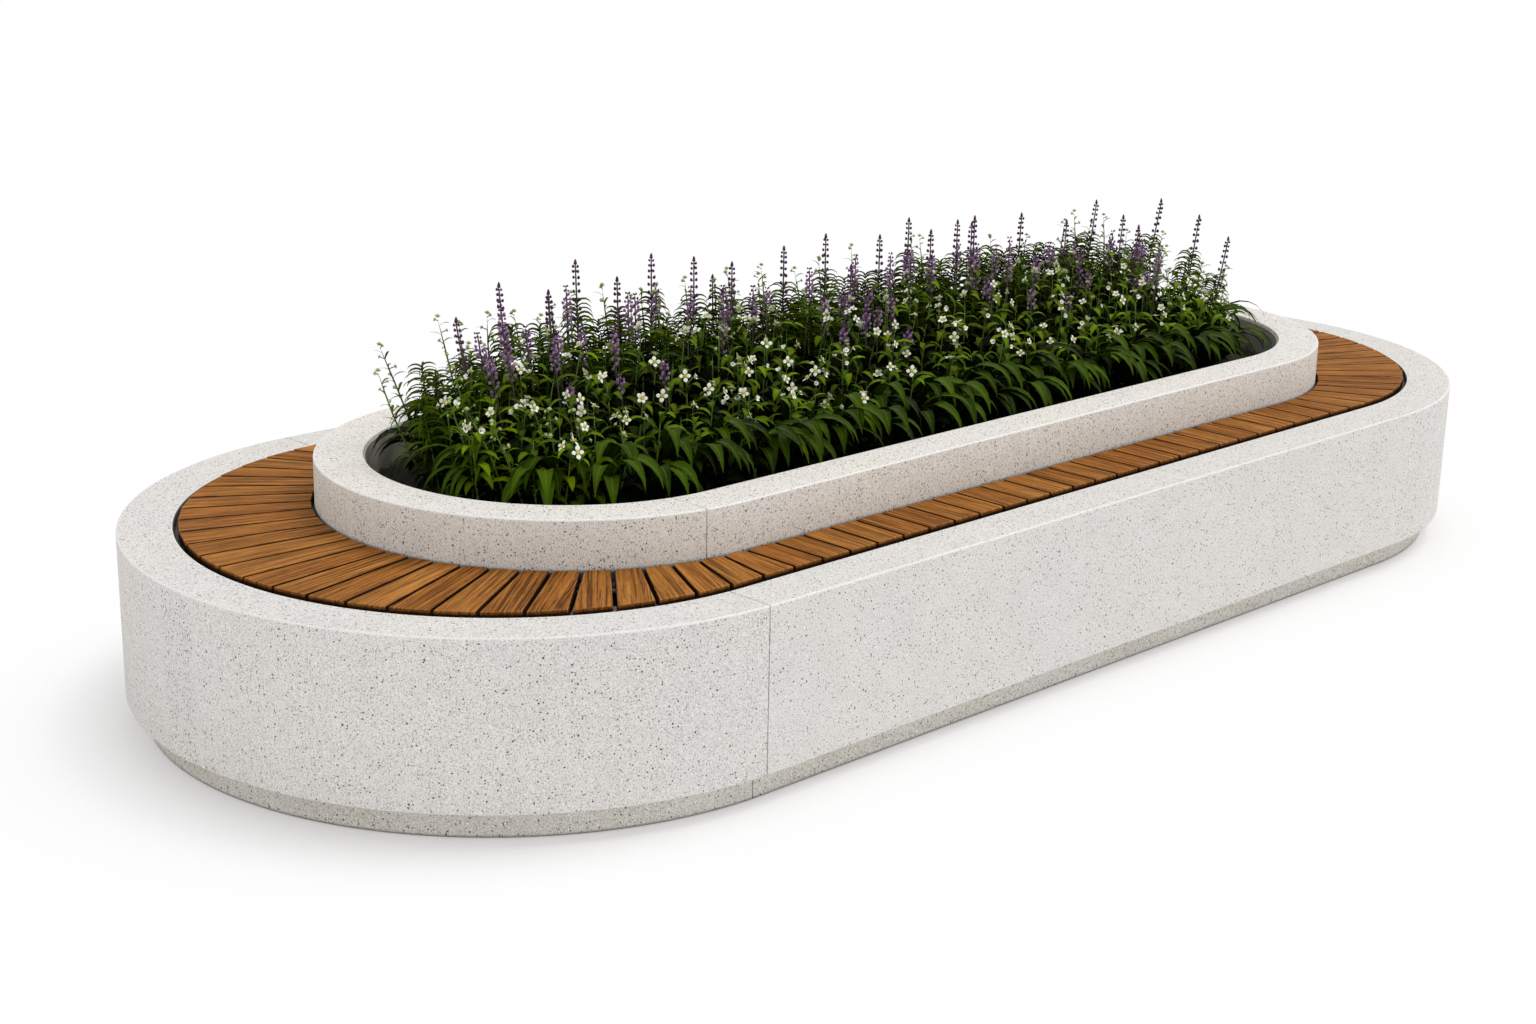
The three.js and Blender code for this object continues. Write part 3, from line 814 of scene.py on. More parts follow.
def build_slat(name, edges, node, easing, dice):
    """One slat, its grain along it, between two edges."""
    inner, outer = zip(*edges)
    origin = (inner[0] + inner[1]) / 2
    along = ((outer[0] + outer[1]) / 2 - origin).normalized()
    across = Vector((-along.y, along.x))
    corners = {}
    for is_outer, points in ((False, inner), (True, outer)):
        for point in points:
            local = Vector(((point - origin).dot(along), (point - origin).dot(across)))
            corners[is_outer, local.y > 0] = local
    bm = new_solid()
    bmesh.ops.create_cube(bm, size=1.0)
    for vert in bm.verts:
        height = SLAT_TOP if vert.co.z > 0 else SLAT_UNDERSIDE
        vert.co = (*corners[vert.co.x > 0, vert.co.y > 0], height)
    ease(bm, bm.edges[:], easing * dice.uniform(0.85, 1.2), 3)
    grain = bm.verts.layers.float_vector.new("grain")
    tone = bm.verts.layers.float.new("tone")
    start = Vector((dice.uniform(0, 9), dice.uniform(0, 9), dice.uniform(0, 9)))
    skew = dice.uniform(-0.05, 0.05)
    shade = dice.random()
    for vert in bm.verts:
        vert[grain] = start + vert.co + Vector((0, vert.co.x * skew, 0))
        vert[tone] = shade
    smooth_but_creased(bm)
    turn = Matrix.Rotation(math.atan2(along.y, along.x), 4, "Z")
    bmesh.ops.transform(bm, matrix=Matrix.Translation((*origin, 0)) @ turn, verts=bm.verts)
    add_piece(name, bm, ["hardwood"], node)


def build_strap(name, lines, node, joint):
    """Steel strap under a panel of slats, with a screw head under each slat."""
    crossings = []
    centres = []
    for first, second in zip(lines, lines[1:]):
        for inner, outer in slat_edges(first, second, joint):
            along = (outer - inner).normalized()
            crossings.append([inner + along * (STRAP_START + step) for step in (0, STRAP_WIDTH)])
        centres.append(sum(crossings[-2] + crossings[-1], Vector((0, 0))) / 4)
    bm = bmesh.new()
    rows = len(crossings) - 1
    bmesh.ops.create_grid(bm, x_segments=1, y_segments=rows, size=0.5)
    for vert in bm.verts:
        crossing = crossings[round((vert.co.y + 0.5) * rows)]
        vert.co = (*crossing[vert.co.x > 0], SLAT_UNDERSIDE)
    down = bmesh.ops.extrude_face_region(bm, geom=bm.faces[:])["geom"]
    bmesh.ops.translate(bm, vec=(0, 0, -STRAP_THICKNESS), verts=only(BMVert, down))
    head = SLAT_UNDERSIDE - STRAP_THICKNESS - SCREW_HEAD_DEPTH / 2
    for centre in centres:
        bmesh.ops.create_cone(
            bm, cap_ends=True, segments=10, radius1=0.0028, radius2=0.004,
            depth=SCREW_HEAD_DEPTH, matrix=Matrix.Translation((*centre, head)))
    bmesh.ops.recalc_face_normals(bm, faces=bm.faces[:])
    add_piece(name, bm, ["galvanised"], node)


def seat_panels(seat):
    """Each panel's node, the name and first number of its slats, and its joint lines."""
    panels = []
    for end, sign in (("left", -1), ("right", 1)):
        start = 0
        for place, count in (("rear", 10), ("centre", 9), ("front", 10)):
            lines = [fan_line(sign, index / seat.slats_per_end)
                     for index in range(start, start + count + 1)]
            panels.append((f"seat_panel_{end}_end_{place}", f"slat_{end}_end", start, lines))
            start += count
    for side, sign in (("front", -1), ("rear", 1)):
        half = seat.slats_per_side // 2
        for place, start in (("left", 0), ("right", half)):
            lines = [side_line(sign, index / seat.slats_per_side)
                     for index in range(start, start + half + 1)]
            panels.append((f"seat_panel_{side}_{place}", f"slat_{side}", start, lines))
    return panels


class BENCH_OT_slats(bpy.types.Operator):
    """Lay the hardwood slats, square along the sides and fanned round the ends"""

    bl_idname = "bench.slats"
    bl_label = "Slats"

    def execute(self, context):
        seat = context.scene.bench_seat
        dice = random.Random(11)
        for node, name, start, lines in seat_panels(seat):
            for index, (first, second) in enumerate(zip(lines, lines[1:])):
                edges = slat_edges(first, second, seat.slat_joint)
                build_slat(f"{name}_{start + index + 1:02d}", edges, node, seat.slat_easing, dice)
        return {"FINISHED"}


class BENCH_OT_straps(bpy.types.Operator):
    """Fix the steel straps that tie the slats into panels"""

    bl_idname = "bench.straps"
    bl_label = "Straps"

    def execute(self, context):
        seat = context.scene.bench_seat
        for node, _, _, lines in seat_panels(seat):
            build_strap(node.replace("seat_panel", "strap"), lines, node, seat.slat_joint)
        return {"FINISHED"}


# Liner and soil


class BENCH_OT_liner(bpy.types.Operator):
    """Form the liner pan of the bed, with holes for the drain outlets"""

    bl_idname = "bench.liner"
    bl_label = "Liner"

    def execute(self, context):
        inner_radius = LINER_RADIUS - LINER_THICKNESS
        floor_top = LINER_BOTTOM + LINER_THICKNESS
        bm = new_solid()
        round_ended_ring(
            bm, PLANTER_STRAIGHT, [
                (LINER_RADIUS, LINER_BOTTOM), (LINER_RADIUS, LINER_TOP),
                (inner_radius, LINER_TOP), (inner_radius, floor_top)],
            context.scene.bench_stonework.turn_steps, closed=False)
        holes = []
        for height, up in ((LINER_BOTTOM, -1), (floor_top, 1)):
            outline = [edge for edge in bm.edges if edge.is_boundary
                       and abs(edge.verts[0].co.z - height) < LINER_THICKNESS / 2]
            places = [Matrix.Translation((x, 0, height)) for x in DRAIN_PLACES]
            holes.append(fill_round_holes(bm, outline, (0, 0, up), places, DRAIN_HOLE_RADIUS, 24))
        for low_rim, high_rim in zip(*holes):
            bmesh.ops.bridge_loops(bm, edges=low_rim + high_rim)
        bmesh.ops.recalc_face_normals(bm, faces=bm.faces[:])
        smooth_but_creased(bm)
        add_piece("bed_liner", bm, ["bed_liner"], "planter_liner")
        return {"FINISHED"}


class Bunch:
    """Gathers copies of small meshes into one."""

    def __init__(self, bm=None):
        self.bm = bm if bm is not None else bmesh.new()

    def add(self, part, place=None, tone=None, plant_tone=None):
        """Adds a copy of a mesh, moved to a place, with its own tone and that of its plant."""
        copy = part.copy()
        if place is not None:
            copy.transform(place)
        for name, value in (("tone", tone), ("plant_tone", plant_tone)):
            if value is not None:
                values = [value] * len(copy.vertices)
                copy.attributes[name].data.foreach_set("value", values)
        self.bm.from_mesh(copy)
        bpy.data.meshes.remove(copy)

    def add_stem(self, finish, path, radii, tone, plant_tone, sides=5):
        stem = tube(finish, path, radii, sides)
        self.add(stem, None, tone, plant_tone)
        bpy.data.meshes.remove(stem)

    def mesh(self, name):
        made = bpy.data.meshes.new(name)
        self.bm.to_mesh(made)
        self.bm.free()
        return made


class BENCH_OT_soil(bpy.types.Operator):
    """Fill the bed with soil, its surface uneven and strewn with crumbs"""

    bl_idname = "bench.soil"
    bl_label = "Soil"

    def execute(self, context):
        dice = random.Random(5)
        bm = bmesh.new()
        bmesh.ops.create_grid(bm, x_segments=200, y_segments=64, size=1.0)
        for vert in bm.verts:
            y = vert.co.y * SOIL_RADIUS
            x = vert.co.x * (PLANTER_STRAIGHT + math.sqrt(max(0, SOIL_RADIUS ** 2 - y * y)))
            lump = noise.noise(Vector((x, y, 0)) * 26) + noise.noise(Vector((x, y, 3)) * 70) * 0.6
            edge = max(abs(vert.co.x), abs(vert.co.y))
            vert.co = (x, y, SOIL_TOP + SOIL_LUMP * ((lump if edge < 0.99 else 0) - 1))
        rim = [edge for edge in bm.edges if edge.is_boundary]
        extrude_and_close(bm, rim, (0, 0, SOIL_BOTTOM - SOIL_TOP + SOIL_LUMP))
        bmesh.ops.recalc_face_normals(bm, faces=bm.faces[:])
        crumb = Bunch()
        bmesh.ops.create_icosphere(crumb.bm, subdivisions=1, radius=1.0)
        crumb_mesh = crumb.mesh("soil_crumb")
        heap = Bunch(bm)
        for _ in range(SOIL_CRUMBS):
            spot = bed_spot(dice, SOIL_RADIUS - 0.012)
            size = dice.uniform(0.0025, 0.008) * dice.uniform(0.7, 1.3)
            heap.add(crumb_mesh, (
                Matrix.Translation((*spot, SOIL_TOP - 0.002))
                @ Matrix.Rotation(dice.uniform(0, FULL_TURN), 4, Vector((1, dice.random(), 0.5)))
                @ Matrix.Diagonal((size, size * dice.uniform(0.6, 1), size * 0.6, 1))))
        smooth(bm)
        add_piece("bed_soil", bm, ["bed_soil"], "soil")
        return {"FINISHED"}


# Planting


class BENCH_PG_planting(bpy.types.PropertyGroup):
    seed: IntProperty(
        name="Seed", description="Chooses another arrangement of the plants", default=7, min=0)
    rosette_spacing: FloatProperty(
        name="Rosette spacing", description="Distance between the strap-leaved rosettes",
        default=0.146, min=0.04, max=0.3, unit="LENGTH")
    strap_leaf_length: FloatProperty(
        name="Strap leaf length", description="Length of a full-grown strap leaf",
        default=0.243, min=0.1, max=0.4, unit="LENGTH")
    strap_leaf_width: FloatProperty(
        name="Strap leaf width", description="Width of a full-grown strap leaf",
        default=0.039, min=0.01, max=0.08, unit="LENGTH")
    flower_spacing: FloatProperty(
        name="Flower spacing", description="Distance between the white-flowered plants",
        default=0.083, min=0.04, max=0.3, unit="LENGTH")
    feather_spacing: FloatProperty(
        name="Feathery spacing", description="Distance between the narrow-leaved plants",
        default=0.082, min=0.05, max=0.3, unit="LENGTH")


def plant_grid(columns, rows):
    """Flat grid with the layers that the plant finishes read; returns its place layer too."""
    bm = bmesh.new()
    if rows:
        bmesh.ops.create_grid(bm, x_segments=columns, y_segments=rows, size=0.5)
    place = bm.verts.layers.float_vector.new("leaf_place")
    bm.verts.layers.float.new("tone")
    bm.verts.layers.float.new("plant_tone")
    return bm, place


def plant_mesh(bm, finish):
    smooth(bm)
    for face in bm.faces:
        face.material_index = list(PLANT_FINISHES).index(finish)
    return Bunch(bm).mesh(finish)


def blade(finish, length, width, width_shares, rise, droop, fold=0.25, twist=0.0,
          bend=1.0, columns=2, start=0.0, roll=0.0):
    """Leaf or petal: a flat grid bent along its length, out along +X from its foot.

    It sets out at rise and ends at droop, in degrees from the level. Roll is in degrees too,
    and twist in radians.
    """
    rows = len(width_shares) - 1
    bm, leaf_place = plant_grid(columns, rows)

    def heading(row):
        return math.radians(rise + (droop - rise) * (row / rows) ** bend)

    spine = [Vector((start, 0, 0))]
    for row in range(rows):
        middle = heading(row + 0.5)
        step = Vector((math.cos(middle), 0, math.sin(middle))) * length / rows
        spine.append(spine[-1] + step)
    for vert in bm.verts:
        across = vert.co.x * 2
        along = vert.co.y + 0.5
        row = round(along * rows)
        forward = Vector((math.cos(heading(row)), 0, math.sin(heading(row))))
        turn = Matrix.Rotation(math.radians(roll) + twist * along, 3, forward)
        side = turn @ Vector((0, -1, 0))
        up = turn @ Vector((-forward.z, 0, forward.x))
        half = width * width_shares[row] / 2
        vert.co = spine[row] + side * across * half + up * abs(across) ** 1.4 * fold * half
        vert[leaf_place] = (across, along, 0)
    return plant_mesh(bm, finish)


def tube(finish, path, radii, sides):
    """Stem: a flat grid rolled round a path and welded; a last radius of nought closes it."""
    rows = len(path) - 1
    bm, leaf_place = plant_grid(sides, rows)
    for vert in bm.verts:
        along = vert.co.y + 0.5
        row = round(along * rows)
        forward = (path[min(row + 1, rows)] - path[max(row - 1, 0)]).normalized()
        side = forward.cross(Vector((0.3, 1, 0.1))).normalized()
        other = forward.cross(side)
        angle = (vert.co.x + 0.5) * 2 * math.pi
        vert.co = path[row] + (side * math.cos(angle) + other * math.sin(angle)) * radii[row]
        vert[leaf_place] = (0, along, 0)
    bmesh.ops.remove_doubles(bm, verts=bm.verts, dist=1e-6)
    return plant_mesh(bm, finish)


def knob(finish, radius, length, segments=6, rings=4):
    """Ovoid bud, slimmer towards its top, standing on the origin."""
    bm, leaf_place = plant_grid(0, 0)
    bmesh.ops.create_uvsphere(bm, u_segments=segments, v_segments=rings, radius=1.0)
    for vert in bm.verts:
        up = vert.co.z
        slim = radius * (1 - 0.35 * max(0, up))
        vert.co = (vert.co.x * slim, vert.co.y * slim, (up + 1) / 2 * length)
        vert[leaf_place] = (0, (up + 1) / 2, 0)
    return plant_mesh(bm, finish)


def set_at(place, azimuth, tilt=0.0, size=1.0):
    """Moves a part to a place, after a turn by azimuth and, before that, a tilt outwards."""
    return (Matrix.Translation(place) @ Matrix.Rotation(azimuth, 4, "Z")
            @ Matrix.Rotation(tilt, 4, "Y") @ Matrix.Scale(size, 4))


def facing(place, direction, size):
    """Moves a part to a place, its +Z along a direction."""
    turn = direction.to_track_quat("Z", "Y").to_matrix().to_4x4()
    return Matrix.Translation(place) @ turn @ Matrix.Scale(size, 4)


def sideways(azimuth, z=0.0):
    return Vector((math.cos(azimuth), math.sin(azimuth), z))


def past_straight(x, y):
    """Offset of a place from the middle line of the bed."""
    return Vector((math.copysign(max(0.0, abs(x) - PLANTER_STRAIGHT), x), y))


def outward_from(x, y):
    """Direction from the middle line of the bed towards its edge."""
    offset = past_straight(x, y)
    return offset.normalized() if offset.length > 1e-4 else Vector((0, -1))


def bed_edge(distance, radius):
    """Point at a distance along the bed's outline, which starts at the front left."""
    straight = 2 * PLANTER_STRAIGHT
    halves, distance = divmod(distance, straight + math.pi * radius)
    if distance < straight:
        point = Vector((distance - PLANTER_STRAIGHT, -radius))
    else:
        angle = (distance - straight) / radius - math.pi / 2
        point = Vector((PLANTER_STRAIGHT, 0)) + sideways(angle).xy * radius
    return -point if halves % 2 else point


def bed_spot(dice, radius):
    """Random place in the bed."""
    while True:
        x = dice.uniform(-1, 1) * (PLANTER_STRAIGHT + radius)
        y = dice.uniform(-1, 1) * radius
        if past_straight(x, y).length < radius:
            return Vector((x, y))


def jittered(dice, spacing, y_low, y_high, radius):
    """Places in staggered rows, each moved a little at random."""
    jitter = JITTER_SHARE * spacing
    spots = []
    rows = max(1, round((y_high - y_low) / (spacing * ROW_SHARE)))
    columns = int(2 * (PLANTER_STRAIGHT + radius) / spacing) + 1
    for row in range(rows):
        y = y_low + (row + 0.5) * (y_high - y_low) / rows
        for column in range(columns):
            x = (column + (row % 2) / 2 - columns / 2) * spacing
            moved = Vector((x + dice.uniform(-1, 1) * jitter, y + dice.uniform(-1, 1) * jitter))
            if past_straight(*moved).length < radius:
                spots.append(moved)
    return spots


def canopy_height(x, y):
    """Height of the leaf tops above the soil: highest behind the middle, low at the edges."""
    if y < 0.2:
        drop = 0.23 * ((0.2 - y) / 0.64) ** 1.2
    else:
        drop = 0.13 * ((y - 0.2) / 0.22) ** 2
    past_end = min(1.0, max(0.0, abs(x) - 1.0) / 0.48)
    return (CANOPY_TOP - drop) * (1 - 0.3 * past_end ** 2)


def third_of(x):
    if abs(x) < MIDDLE_THIRD_END:
        return "middle"
    return "left" if x < 0 else "right"


def plant_pieces(kind, bunches, node):
    """Ends the bunches of a kind; the rear one stands where the tall spikes do."""
    for part, bunch in bunches.items():
        add_piece(f"{kind}_{part}", bunch.bm, list(PLANT_FINISHES),
                  "purple_spike_planting" if part == "rear" else node)


STRAP_WIDTH_SHARES = [0.3, 0.4, 0.56, 0.78, 0.95, 1.0, 0.93, 0.77, 0.53, 0.27, 0.02]
LANCE_WIDTH_SHARES = [0.25, 0.7, 1.0, 0.95, 0.66, 0.02]
NARROW_WIDTH_SHARES = [0.7, 1.0, 1.0, 0.88, 0.6, 0.05]
PETAL_WIDTH_SHARES = [0.35, 0.78, 1.0, 1.0, 0.78, 0.25]
SEPAL_WIDTH_SHARES = [0.7, 1.0, 0.1]
ORIGIN = Vector((0, 0, 0))
FEATHER_HEIGHT = 0.34
FEATHER_LEVELS = 30


class BENCH_OT_strap_leaves(bpy.types.Operator):
    """Plant the strap-leaved rosettes round the edge of the bed"""

    bl_idname = "bench.strap_leaves"
    bl_label = "Strap leaves"

    def execute(self, context):
        planting = context.scene.bench_planting
        dice = random.Random(planting.seed)
        # Length, rise, droop, bend and twist
        shapes = [
            (1.0, 84, -80, 1.3, 0.14), (0.93, 80, -84, 1.2, -0.12), (1.06, 86, -80, 1.4, 0.08),
            (0.9, 78, -86, 1.25, -0.18), (1.1, 86, -76, 1.5, 0.12), (0.84, 74, -78, 1.15, -0.08),
        ]
        broad_leaves, grassy_leaves = (
            [blade("strap_leaf", planting.strap_leaf_length * length * long,
                   planting.strap_leaf_width * wide, STRAP_WIDTH_SHARES, rise, droop, 0.24,
                   twist, bend, columns=4)
             for length, rise, droop, bend, twist in shapes]
            for long, wide in ((1.0, 1.0), (1.02, 0.42)))
        bunches = defaultdict(Bunch)
        # Distance from the bed's edge, height of the crown, number and spread of the leaves
        rows = [(0.165, 0.045, 4, 0.56), (0.225, 0.07, 4, 0.7)]
        for row, (inset, lift, count, spread) in enumerate(rows):
            radius = BED_RADIUS - inset
            total = 4 * PLANTER_STRAIGHT + 2 * math.pi * radius
            rosettes = round(total / planting.rosette_spacing)
            for index in range(rosettes):
                spot = bed_edge(
                    (index + row * 0.5) * total / rosettes + dice.uniform(-0.018, 0.018), radius)
                outward = outward_from(*spot)
                spot += Vector((dice.uniform(-0.01, 0.01), dice.uniform(-0.01, 0.01)))
                if abs(spot.x) > PLANTER_STRAIGHT:
                    bunch = bunches["right_end" if spot.x > 0 else "left_end"]
                else:
                    bunch = bunches["front" if spot.y < 0 else "rear"]
                crown = Vector((*spot, SOIL_TOP + lift + dice.uniform(-0.01, 0.01)))
                plant = dice.random()
                foot = Vector((*spot, CROWN_FOOT))
                bunch.add_stem(
                    "green_stem", [foot, foot.lerp(crown, 0.5), crown], [0.006, 0.006, 0.004],
                    0.2, plant)
                grassy = abs(spot.x) > GRASSY_START
                leaves = grassy_leaves if grassy else broad_leaves
                count_here = count + 2 * grassy
                for leaf in range(count_here):
                    share = (leaf + 0.5) / count_here * 2 - 1
                    azimuth = (math.atan2(outward.y, outward.x) + share * spread
                               + dice.uniform(-0.16, 0.16))
                    place = set_at(
                        crown, azimuth, dice.uniform(-0.06, 0.06), dice.uniform(0.88, 1.08))
                    bunch.add(dice.choice(leaves), place, dice.random(), plant)
        plant_pieces("strap_leaves", bunches, "strap_leaf_planting")
        return {"FINISHED"}


class BENCH_OT_undergrowth(bpy.types.Operator):
    """Fill the space under the plants with near-black leaves, their colour painted shade among the
    plants
    """

    bl_idname = "bench.undergrowth"
    bl_label = "Undergrowth"

    def execute(self, context):
        dice = random.Random(context.scene.bench_planting.seed + 1)
        leaves = [blade("shade_leaf", 0.12, 0.03, LANCE_WIDTH_SHARES, rise, droop, 0.3, 0.4)
                  for rise, droop in ((70, -40), (85, 0), (50, -60))]
        bunches = defaultdict(Bunch)
        for _ in range(UNDERGROWTH_LEAVES):
            spot = bed_spot(dice, 0.33)
            front = spot.y < 0.05
            height = dice.uniform(0, 1) * (canopy_height(*spot) - (0.13 if front else 0.19))
            place = set_at((*spot, PLANT_FOOT + height), dice.uniform(0, FULL_TURN),
                           dice.uniform(-0.3, 0.3), dice.uniform(0.8, 1.2))
            bunches["front" if front else "rear"].add(
                dice.choice(leaves), place, dice.random(), dice.random())
        plant_pieces("undergrowth", bunches, "strap_leaf_planting")
        return {"FINISHED"}


def open_flower(petals, dice):
    """Open flower facing +Z: round petals about a wide yellow-green eye with its stamens."""
    petal = blade(
        "white_petal", 0.0118, 0.0096, PETAL_WIDTH_SHARES, 30, -12, -0.12, start=0.003)
    stamen = knob("flower_eye", 0.0008, 0.0075, 4, 3)
    bunch = Bunch()
    for index in range(petals):
        azimuth = index * 2 * math.pi / petals + dice.uniform(-0.1, 0.1)
        place = set_at(ORIGIN, azimuth, dice.uniform(-0.15, 0.15), dice.uniform(0.9, 1.08))
        bunch.add(petal, place, dice.random(), 0.5)
    bunch.add(knob("flower_eye", 0.0042, 0.0036, 8, 4), None, 0.35, 0.4)
    for index in range(5):
        bunch.add(stamen, set_at(ORIGIN, index * 1.26, 0.45), 0.9, 0.9)
    return bunch.mesh("open_flower")


def half_open_flower(dice):
    """Flower seen before it is fully open, its petals standing up like a cup."""
    petal = blade("white_petal", 0.0114, 0.0104, PETAL_WIDTH_SHARES, 70, 30, -0.3, start=0.001)
    bunch = Bunch()
    for index in range(4):
        place = set_at(ORIGIN, index * math.pi / 2 + dice.uniform(-0.2, 0.2), 0.0, 0.9)
        bunch.add(petal, place, dice.random(), 0.5)
    bunch.add(knob("green_stem", 0.0026, 0.005, 5, 3), Matrix.Translation((0, 0, -0.003)), 0.6, 0.6)
    return bunch.mesh("half_open_flower")


def bowed_path(dice, foot, top, bow_share, steps):
    """Points of a stem that bows a little between its foot and its top."""
    bow = Vector((dice.uniform(-1, 1), dice.uniform(-1, 1), 0)) * bow_share * (top - foot).length
    return [foot.lerp(top, step / steps) + bow * math.sin(step / steps * math.pi)
            for step in range(steps + 1)]


def path_point(path, share):
    """Point at a share of a path's steps."""
    reach = share * (len(path) - 1)
    step = min(int(reach), len(path) - 2)
    return path[step].lerp(path[step + 1], reach - step)


def leafy_stem(bunch, dice, path, leaves, leaf_count, plant, start, radius):
    """A stem with leaves all the way up, smaller towards its top."""
    last = len(path) - 1
    radii = [radius * (1 - 0.5 * step / last) for step in range(last)] + [0]
    bunch.add_stem("green_stem", path, radii, dice.random(), plant)
    azimuth = dice.uniform(0, FULL_TURN)
    for index in range(leaf_count):
        share = start + (0.97 - start) * (index + dice.uniform(0, 0.6)) / leaf_count
        azimuth += GOLDEN_ANGLE + dice.uniform(-0.3, 0.3)
        size = (1.15 - 0.55 * share) * dice.uniform(0.82, 1.12)
        bunch.add(dice.choice(leaves),
                  set_at(path_point(path, share), azimuth, dice.uniform(-0.15, 0.2), size),
                  dice.random(), plant)


def flower_head(bunch, dice, path, outward, flowers, small_flowers, bud, count):
    """Loose head of a few flowers round the top of a stem, most of them facing outwards."""
    top = path[-1]
    down = (path[-2] - top).normalized()
    azimuth = dice.uniform(0, FULL_TURN)
    for index in range(count):
        azimuth += GOLDEN_ANGLE + dice.uniform(-0.4, 0.4)
        joint = top + down * (0.006 + 0.011 * index)
        side = sideways(azimuth)
        reach = side * (0.006 if index == 0 else dice.uniform(0.018, 0.028))
        centre = joint + reach + Vector((0, 0, dice.uniform(0.006, 0.014)))
        up = Vector((0, 0, dice.uniform(0.2, 0.8)))
        look_way = (side * 0.7 + outward * 0.55 + up).normalized()
        shape = dice.choice(flowers if index == 0 or dice.random() < 0.4 else small_flowers)
        size = dice.uniform(0.75, 1.08) * (0.97 - 0.1 * centre.x)
        bunch.add(shape, facing(centre, look_way, size), dice.random(), 0.5)
        bend = joint.lerp(centre, 0.6) + Vector((0, 0, -0.002))
        bunch.add_stem("green_stem", [joint, bend, centre - look_way * 0.002],
                       [0.0015, 0.0013, 0.0015], 0.9, 0.8, 3)
    for index in range(6):
        bunch.add(bud, set_at(top, index * 1.7, 0.55 if index else 0.0), dice.random(), 0.6)


class BENCH_OT_flower_plants(bpy.types.Operator):
    """Plant the leafy plants with small white flowers"""

    bl_idname = "bench.flower_plants"
    bl_label = "White flowers"

    def execute(self, context):
        planting = context.scene.bench_planting
        dice = random.Random(planting.seed + 2)
        leaves = [
            blade("fresh_leaf", length, width, LANCE_WIDTH_SHARES, rise, droop, 0.25, twist)
            for length, width, rise, droop, twist in (
                (0.108, 0.024, 66, -54, 0.25), (0.092, 0.026, 54, -66, -0.2),
                (0.12, 0.021, 72, -38, 0.35), (0.08, 0.023, 42, -74, 0.15))
        ]
        flowers = [open_flower(petals, dice) for petals in (4, 4, 5)]
        small_flowers = [half_open_flower(dice) for _ in range(2)]
        bud = knob("pale_bud", 0.0028, 0.0066, 5, 3)
        bunches = defaultdict(Bunch)
        for spot in jittered(dice, planting.flower_spacing, -0.3, 0.13, PLANTED_RADIUS):
            height = canopy_height(*spot) - 0.005 - spot.y * 0.05 + dice.uniform(-0.03, 0.035)
            foot = Vector((*spot, PLANT_FOOT))
            lean = Vector((dice.uniform(-0.025, 0.025), dice.uniform(-0.04, 0.01), height))
            path = bowed_path(dice, foot, foot + lean, 0.04, 7)
            plant = dice.random()
            bunch = bunches[third_of(spot.x)]
            leafy_stem(bunch, dice, path, leaves, dice.randint(10, 13), plant, 0.2, 0.0026)
            if dice.random() < 0.72 + 0.14 * spot.x:
                flower_head(bunch, dice, path, outward_from(*spot).to_3d(), flowers,
                            small_flowers, bud, dice.choice((1, 1, 2, 2, 3, 3, 4)))
        plant_pieces("white_flower_plants", bunches, "white_flower_planting")
        return {"FINISHED"}


def feather_plant(dice, blades):
    """Upright stem with whorls of narrow leaves that arch out and down like a fountain."""
    bunch = Bunch()
    path = [ORIGIN, Vector((0.003, 0, FEATHER_HEIGHT * 0.5)), Vector((0, 0.002, FEATHER_HEIGHT))]
    bunch.add_stem("green_stem", path, [0.003, 0.0024, 0], 0.4, 0.5)
    for level in range(FEATHER_LEVELS):
        share = 0.2 + 0.8 * level / (FEATHER_LEVELS - 1)
        for index in range(4):
            if index % 2 and level % 2:
                continue
            azimuth = index * math.pi / 2 + dice.uniform(-0.2, 0.2)
            bunch.add(dice.choice(blades),
                      set_at((0, 0, FEATHER_HEIGHT * share), azimuth,
                             dice.uniform(-0.05, 0.05) - 0.25 * share ** 10,
                             (1.1 - 0.4 * share ** 4) * dice.uniform(0.94, 1.06)),
                      dice.random(), 0.5)
    return bunch.mesh("feather_plant")


def bud_on_stalk(dice):
    """Bud that stands out from the stem on a short stalk."""
    bunch = Bunch()
    out = Vector((0.0078, 0, 0.001))
    bunch.add_stem("dark_stem", [ORIGIN, out * 0.6, out], [0.0009, 0.0008, 0.0009], 0.5, 0.5, 3)
    bunch.add(knob("dark_bud", 0.0052, 0.0122),
              set_at(out - Vector((0.001, 0, 0.0048)), 0, dice.uniform(0.1, 0.3)), 0.5, 0.5)
    return bunch.mesh("bud_on_stalk")


def spike_stem(bunch, dice, foot, tip, shares, radii):
    """The stem of a spike; returns the tone of its plant and the way down from its tip."""
    plant = dice.random()
    path = [foot.lerp(tip, share) for share in shares]
    bunch.add_stem("dark_stem", path, radii, dice.random(), plant)
    return plant, (foot - tip).normalized()


